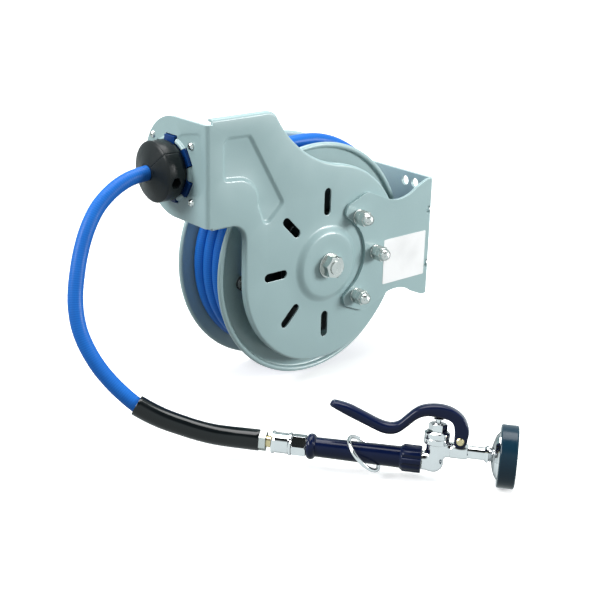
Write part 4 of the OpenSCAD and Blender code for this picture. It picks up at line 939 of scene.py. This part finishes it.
bmesh.ops.recalc_face_normals(build, faces=build.faces)
casting_mesh = mesh_of(build, "valve_casting")
shaded(casting_mesh, 50)
valve_casting = new_object("valve_casting", casting_mesh)
fit(valve_casting, "valve", "chrome", "valve_body")
print("valve casting:", len(casting_mesh.polygons), "faces")

# %% [markdown]
# ## Springs
# Two small coil springs are wire on a helix: one behind the pawl, one under the valve's stem. Both are made
# by the same tube as the hose. The stem pushes its spring down as the lever closes.
# %% Coil springs


def coil(name, wire_r, r, pitch, turns, place, steps=24):
    """A wire spring, each point of its helix put in space by place(x, y, z)."""
    angles = np.arange(turns * steps + 1) * 2 * math.pi / steps
    points = [place(r * math.cos(a), r * math.sin(a), pitch * a / (2 * math.pi)) for a in angles]
    return tube(name, np.array(points), wire_r, 8)


PAWL_REACH, PAWL_A = 109.0, 183
pawl_x, pawl_z = PAWL_REACH * bearing(PAWL_A)
pawl_coil = coil("pawl_coil", 0.6, 4.9, 1.975, 4, lambda x, y, z: HUB + (pawl_x + x, -57.0 + z, pawl_z - y))
stem_coil = coil("stem_coil", 0.45, 3.75, 3.62, 5, lambda x, y, z: at_valve(BODY_X + x, y, 0.65 + z))
fit(pawl_coil, "frame", "dark_steel", "pawl_spring")
fit(stem_coil, "valve", "chrome", "stem_spring")
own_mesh(stem_coil)

# %% [markdown]
# ## Softer edges on the CAD pieces
# A solid from CAD has perfectly sharp edges, and a real edge never is. A narrow bevel catches a line
# of light along each of them. It is added as a modifier, so the CAD mesh itself stays as it is.
# %% Bevels
edge_widths = {
    "mounting_bracket": 0.6, "hose_guide": 0.5, "ball_stop_lower": 0.6, "ball_stop_upper": 0.6,
    "bracket_nuts": 0.35, "bracket_cap_nuts": 0.35, "axle_nut": 0.35, "axle_washer": 0.3,
    "bracket_washers": 0.3, "valve_adapter": 0.3, "bonnet": 0.25, "hose_ferrule": 0.35,
    "pawl": 0.4, "ratchet_ring": 0.4, "label_plate": 0.1, "grip_collar": 0.3,
}
for name, width in edge_widths.items():
    soften(nodes[name], width)

# %% [markdown]
# ## Finishes
# Every finish is a small tree of nodes round one Principled shader. What is the same all over is set
# on the shader's own sockets. What varies comes from noise in object space, which is in metres, so a
# scale of 700 gives grains of about 1.4 mm. Three helpers do most of the work: noise, a blend between
# two colours, and bump.
# %% Helpers for finishes


class Finish:
    """One material and the nodes added to it."""

    def __init__(self, name, color, roughness, metallic=0.0, **sockets):
        self.mat = bpy.data.materials.new(name)
        self.mat.use_nodes = True
        self.tree = self.mat.node_tree
        self.shader = self.tree.nodes["Principled BSDF"]
        self.color = color
        self.shader.inputs["Base Color"].default_value = (*color, 1)
        self.shader.inputs["Roughness"].default_value = roughness
        self.shader.inputs["Metallic"].default_value = metallic
        for socket, value in sockets.items():
            self.shader.inputs[socket.replace("_", " ")].default_value = value

    def node(self, kind, *links, **values):
        new = self.tree.nodes.new("ShaderNode" + kind)
        for key, value in values.items():
            if hasattr(new, key):
                setattr(new, key, value)
            else:
                new.inputs[key.replace("_", " ")].default_value = value
        for output, socket in links:
            self.tree.links.new(output, new.inputs[socket])
        return new

    def vector(self, operation, first, second=None):
        """Vector maths on one output, on two, or on one and a constant."""
        new = self.node("VectorMath", (first, 0), operation=operation)
        if isinstance(second, bpy.types.NodeSocket):
            self.tree.links.new(second, new.inputs[1])
        elif second is not None:
            new.inputs[1].default_value = second
        return new.outputs["Value" if operation in ("LENGTH", "DOT_PRODUCT") else "Vector"]

    def feed(self, output, socket):
        """Links an output to a socket of the shader."""
        self.tree.links.new(output, self.shader.inputs[socket])

    def place(self):
        return self.node("TexCoord").outputs["Object"]

    def noise(self, scale, detail=3.0, stretch=None):
        place = self.place()
        if stretch:
            place = self.node("Mapping", (place, "Vector"), Scale=stretch).outputs["Vector"]
        return self.node("TexNoise", (place, "Vector"), Scale=scale, Detail=detail).outputs["Fac"]

    def ranged(self, value, low, high, to_low, to_high):
        node = self.node("MapRange", (value, "Value"))
        ends = {"From Min": low, "From Max": high, "To Min": to_low, "To Max": to_high}
        for socket, number in ends.items():
            node.inputs[socket].default_value = number
        return node.outputs["Result"]

    def tint(self, factor, color):
        """Blends the colour so far towards another one."""
        mix = self.node("Mix", data_type="RGBA")
        a, b = mix.inputs[6], mix.inputs[7]
        came = self.shader.inputs["Base Color"].links
        if came:
            self.tree.links.new(came[0].from_socket, a)
        else:
            a.default_value = (*self.color, 1)
        b.default_value = (*color, 1)
        self.tree.links.new(factor, mix.inputs[0])
        self.feed(mix.outputs[2], "Base Color")

    def rough(self, value, low, high, to_low, to_high):
        self.feed(self.ranged(value, low, high, to_low, to_high), "Roughness")

    def bump(self, height, distance, strength=1.0):
        node = self.node("Bump", (height, "Height"), Strength=strength, Distance=distance)
        came = self.shader.inputs["Normal"].links
        if came:
            self.tree.links.new(came[0].from_socket, node.inputs["Normal"])
        self.feed(node.outputs["Normal"], "Normal")

    def edges(self, radius):
        """A mask that is 1 on edges sharper than the radius and 0 on faces."""
        rounded_off = self.node("Bevel", samples=4, Radius=radius).outputs["Normal"]
        true = self.node("NewGeometry").outputs["Normal"]
        return self.ranged(self.vector("DOT_PRODUCT", rounded_off, true), 0.999, 0.93, 0.0, 1.0)


looks = {}

# %% [markdown]
# The enamel is a baked powder coat: a satin skin with a fine orange peel. Its colour drifts a little with the
# thickness of the coat, and its sharp edges are tinted paler, a painted highlight for the line of light that
# they catch.
# %% Frame enamel


def enamel(name):
    """The blue-grey powder coat of all the sheet metal."""
    coat = Finish(name, (0.328, 0.468, 0.476), 0.34, Coat_Weight=0.3, Coat_Roughness=0.2)
    coat.tint(coat.ranged(coat.noise(14, 2), 0.35, 0.65, 0, 0.5), (0.300, 0.43, 0.44))
    coat.tint(coat.ranged(coat.noise(900, 2), 0.4, 0.7, 0, 0.18), (0.40, 0.53, 0.53))
    # Painted highlight: sharp edges are tinted paler, as if catching light.
    coat.tint(coat.edges(0.0007), (0.56, 0.68, 0.68))
    coat.rough(coat.noise(60, 4), 0.3, 0.7, 0.28, 0.42)
    coat.bump(coat.noise(650, 2), 0.00004, 0.35)
    return coat


looks["frame_paint"] = enamel("frame_paint").mat

# %% [markdown]
# What lies behind the slots of the frame should look nearly black. Shade is painted for it: a nearly black
# tint on the middle of the drum's near flange, where the frame shades it. The distance from the axle, worked
# out from object coordinates, masks that disc.
# %% Painted shade on the near flange
SHADE_R, SHADE_EDGE = 0.096, 0.004
flange = enamel("flange_painted_shade")
from_axle = flange.vector("MULTIPLY", flange.vector("SUBTRACT", flange.place(), HUB * MM), (1, 0, 1))
painted_shade = flange.ranged(flange.vector("LENGTH", from_axle), SHADE_R + SHADE_EDGE, SHADE_R, 0, 1)
# Painted shade: the middle of the near flange is tinted nearly black.
flange.tint(painted_shade, (0.012, 0.013, 0.014))
looks["flange_painted_shade"] = flange.mat

# %% [markdown]
# Zinc, chrome, brass, bronze and dark steel are all metal: the colour tints what they mirror, and the
# roughness decides how sharp the mirror is. Handling leaves faint smears, so the roughness wanders. Their
# sharp edges are tinted paler, a painted highlight.
# %% Metals
for name, color, low, high, grain, painted_edge in (
    ("zinc_steel", (0.66, 0.68, 0.66), 0.16, 0.30, 220, (0.82, 0.83, 0.81)),
    ("dark_steel", (0.10, 0.105, 0.11), 0.28, 0.45, 260, (0.35, 0.35, 0.35)),
    ("bush_bronze", (0.52, 0.36, 0.17), 0.28, 0.42, 240, (0.7, 0.5, 0.28)),
    ("brass", (0.74, 0.62, 0.36), 0.16, 0.30, 200, (0.9, 0.8, 0.55)),
    ("chrome", (0.86, 0.87, 0.88), 0.035, 0.11, 90, (0.95, 0.95, 0.95)),
):
    metal = Finish(name, color, low, 1.0, Specular_Tint=(*[c * 0.4 for c in color], 1))
    metal.tint(metal.ranged(metal.noise(grain, 4), 0.3, 0.75, 0, 0.3), tuple(c * 0.8 for c in color))
    # Painted highlight: sharp edges are tinted towards a paler colour.
    metal.tint(metal.edges(0.0005), painted_edge)
    metal.rough(metal.noise(grain / 2, 5), 0.35, 0.65, low, high)
    metal.bump(metal.noise(grain * 6, 3, (1, 1, 0.15)), 0.00001, 0.08)
    looks[name] = metal.mat

# %% [markdown]
# The hose cover is extruded over a spiral of cord, which prints through as fine rings. The UV map
# of the tubes holds the length along, in metres, so one wave texture gives rings at a true pitch on
# every stretch of hose, however it bends.
# %% Hose rubber
rubber = Finish("hose_rubber", (0.010, 0.126, 0.49), 0.36, Specular_IOR_Level=0.18)
run = rubber.node("UVMap", uv_map="along").outputs["UV"]
cords = rubber.node(
    "TexWave", (run, "Vector"), bands_direction="Y", Scale=130, Distortion=0.6, Detail=1.5, Detail_Scale=3
).outputs["Fac"]
rubber.tint(rubber.ranged(cords, 0.2, 1.0, 0, 0.35), (0.020, 0.195, 0.68))
rubber.tint(rubber.ranged(rubber.noise(30, 3), 0.35, 0.7, 0, 0.4), (0.008, 0.105, 0.44))
rubber.rough(rubber.noise(250, 4), 0.3, 0.7, 0.30, 0.46)
rubber.bump(cords, 0.0001, 0.25)
rubber.bump(rubber.noise(1500, 2), 0.00003, 0.3)
looks["hose_rubber"] = rubber.mat

# %% [markdown]
# The rest is moulded, dipped or film. Sleeve, grip and bumper are glossy, the ball stop and the guide are
# satin, and their edges are tinted a little paler, a painted highlight along each edge; on the white film the
# edge tint is a little darker, painted shade. The same few steps serve all.
# %% Moulded finishes
for name, color, low, high, grain, painted_edge, gloss in (
    ("black_rubber", (0.004, 0.006, 0.007), 0.10, 0.16, 500, (0.016, 0.02, 0.022), 0.42),
    ("bumper_rubber", (0.006, 0.030, 0.054), 0.16, 0.24, 700, (0.04, 0.085, 0.10), 0.26),
    ("navy_grip", (0.003, 0.008, 0.041), 0.10, 0.17, 400, (0.010, 0.022, 0.075), 0.22),
    ("blue_plastic", (0.003, 0.040, 0.185), 0.26, 0.38, 600, (0.015, 0.09, 0.30), 0.25),
    ("black_plastic", (0.007, 0.010, 0.011), 0.26, 0.40, 800, (0.05, 0.06, 0.064), 0.24),
    ("white_film", (0.96, 0.97, 0.97), 0.28, 0.36, 300, (0.8, 0.8, 0.8), 0.50),
    ("face_plastic", (0.44, 0.46, 0.48), 0.30, 0.42, 500, (0.6, 0.62, 0.64), 0.40),
):
    skin_of = Finish(name, color, low, Specular_IOR_Level=gloss)
    skin_of.tint(skin_of.ranged(skin_of.noise(25, 3), 0.35, 0.7, 0, 0.45), tuple(c * 0.72 for c in color))
    # Painted highlight along sharp edges, and painted shade on the white film's edges.
    skin_of.tint(skin_of.ranged(skin_of.edges(0.0008), 0, 1, 0, 0.7), painted_edge)
    skin_of.rough(skin_of.noise(120, 4), 0.3, 0.7, low, high)
    skin_of.bump(skin_of.noise(grain, 3), 0.00004, 0.3)
    looks[name] = skin_of.mat
print("finishes:", len(looks))

# %% [markdown]
# ## Dress every piece
# The record names a slot for each CAD node, and each new piece was given its slot when it was made. Two nodes
# are dressed otherwise than their slot says: the lever's screw is bare brass, and the near flange has painted
# shade on its middle. The floor glows more the further it is from the reel, so that only the contact shadow
# is left of it. The dome is white with one dark patch, which puts the dark streaks into the chrome.
# %% Put the finishes on
slot_of = {entry["node"]: entry["material_slot"] for entry in frame["record"]["subparts"]}
# The near flange's own finish carries painted shade on its middle.
slot_of |= {"lever_screw": "brass", "near_flange": "flange_painted_shade"}
for name, obj in nodes.items():
    obj.data.materials.clear()
    obj.data.materials.append(looks[slot_of[name]])
for piece, finish in finish_of.items():
    piece.data.materials.clear()
    piece.data.materials.append(looks[finish])
print("dressed:", len(nodes), "nodes and", len(finish_of), "pieces")

# %% Finish the floor and the dome
DARK_PATCH = Vector((-0.24, -0.28, 0.93)).normalized()
floor_paint = Finish("floor_paint", (0.86, 0.86, 0.86), 0.6, Emission_Color=(1, 1, 1, 1))
floor_paint.tint(floor_paint.ranged(floor_paint.noise(3, 2), 0.3, 0.7, 0, 0.2), (0.82, 0.82, 0.82))
far = floor_paint.vector("LENGTH", floor_paint.place())
floor_paint.feed(floor_paint.ranged(far, 0.5, 3.5, 0.5, 1.0), "Emission Strength")
dome_glow = Finish("dome_glow", (0, 0, 0), 1.0, Specular_IOR_Level=0.0, Emission_Color=(0.88, 0.985, 1, 1))
toward = dome_glow.vector("DOT_PRODUCT", dome_glow.vector("NORMALIZE", dome_glow.place()), DARK_PATCH)
dome_glow.feed(dome_glow.ranged(toward, 0.82, 0.93, 0.86, 0.02), "Emission Strength")
floor.data.materials.append(floor_paint.mat)
dome.data.materials.append(dome_glow.mat)
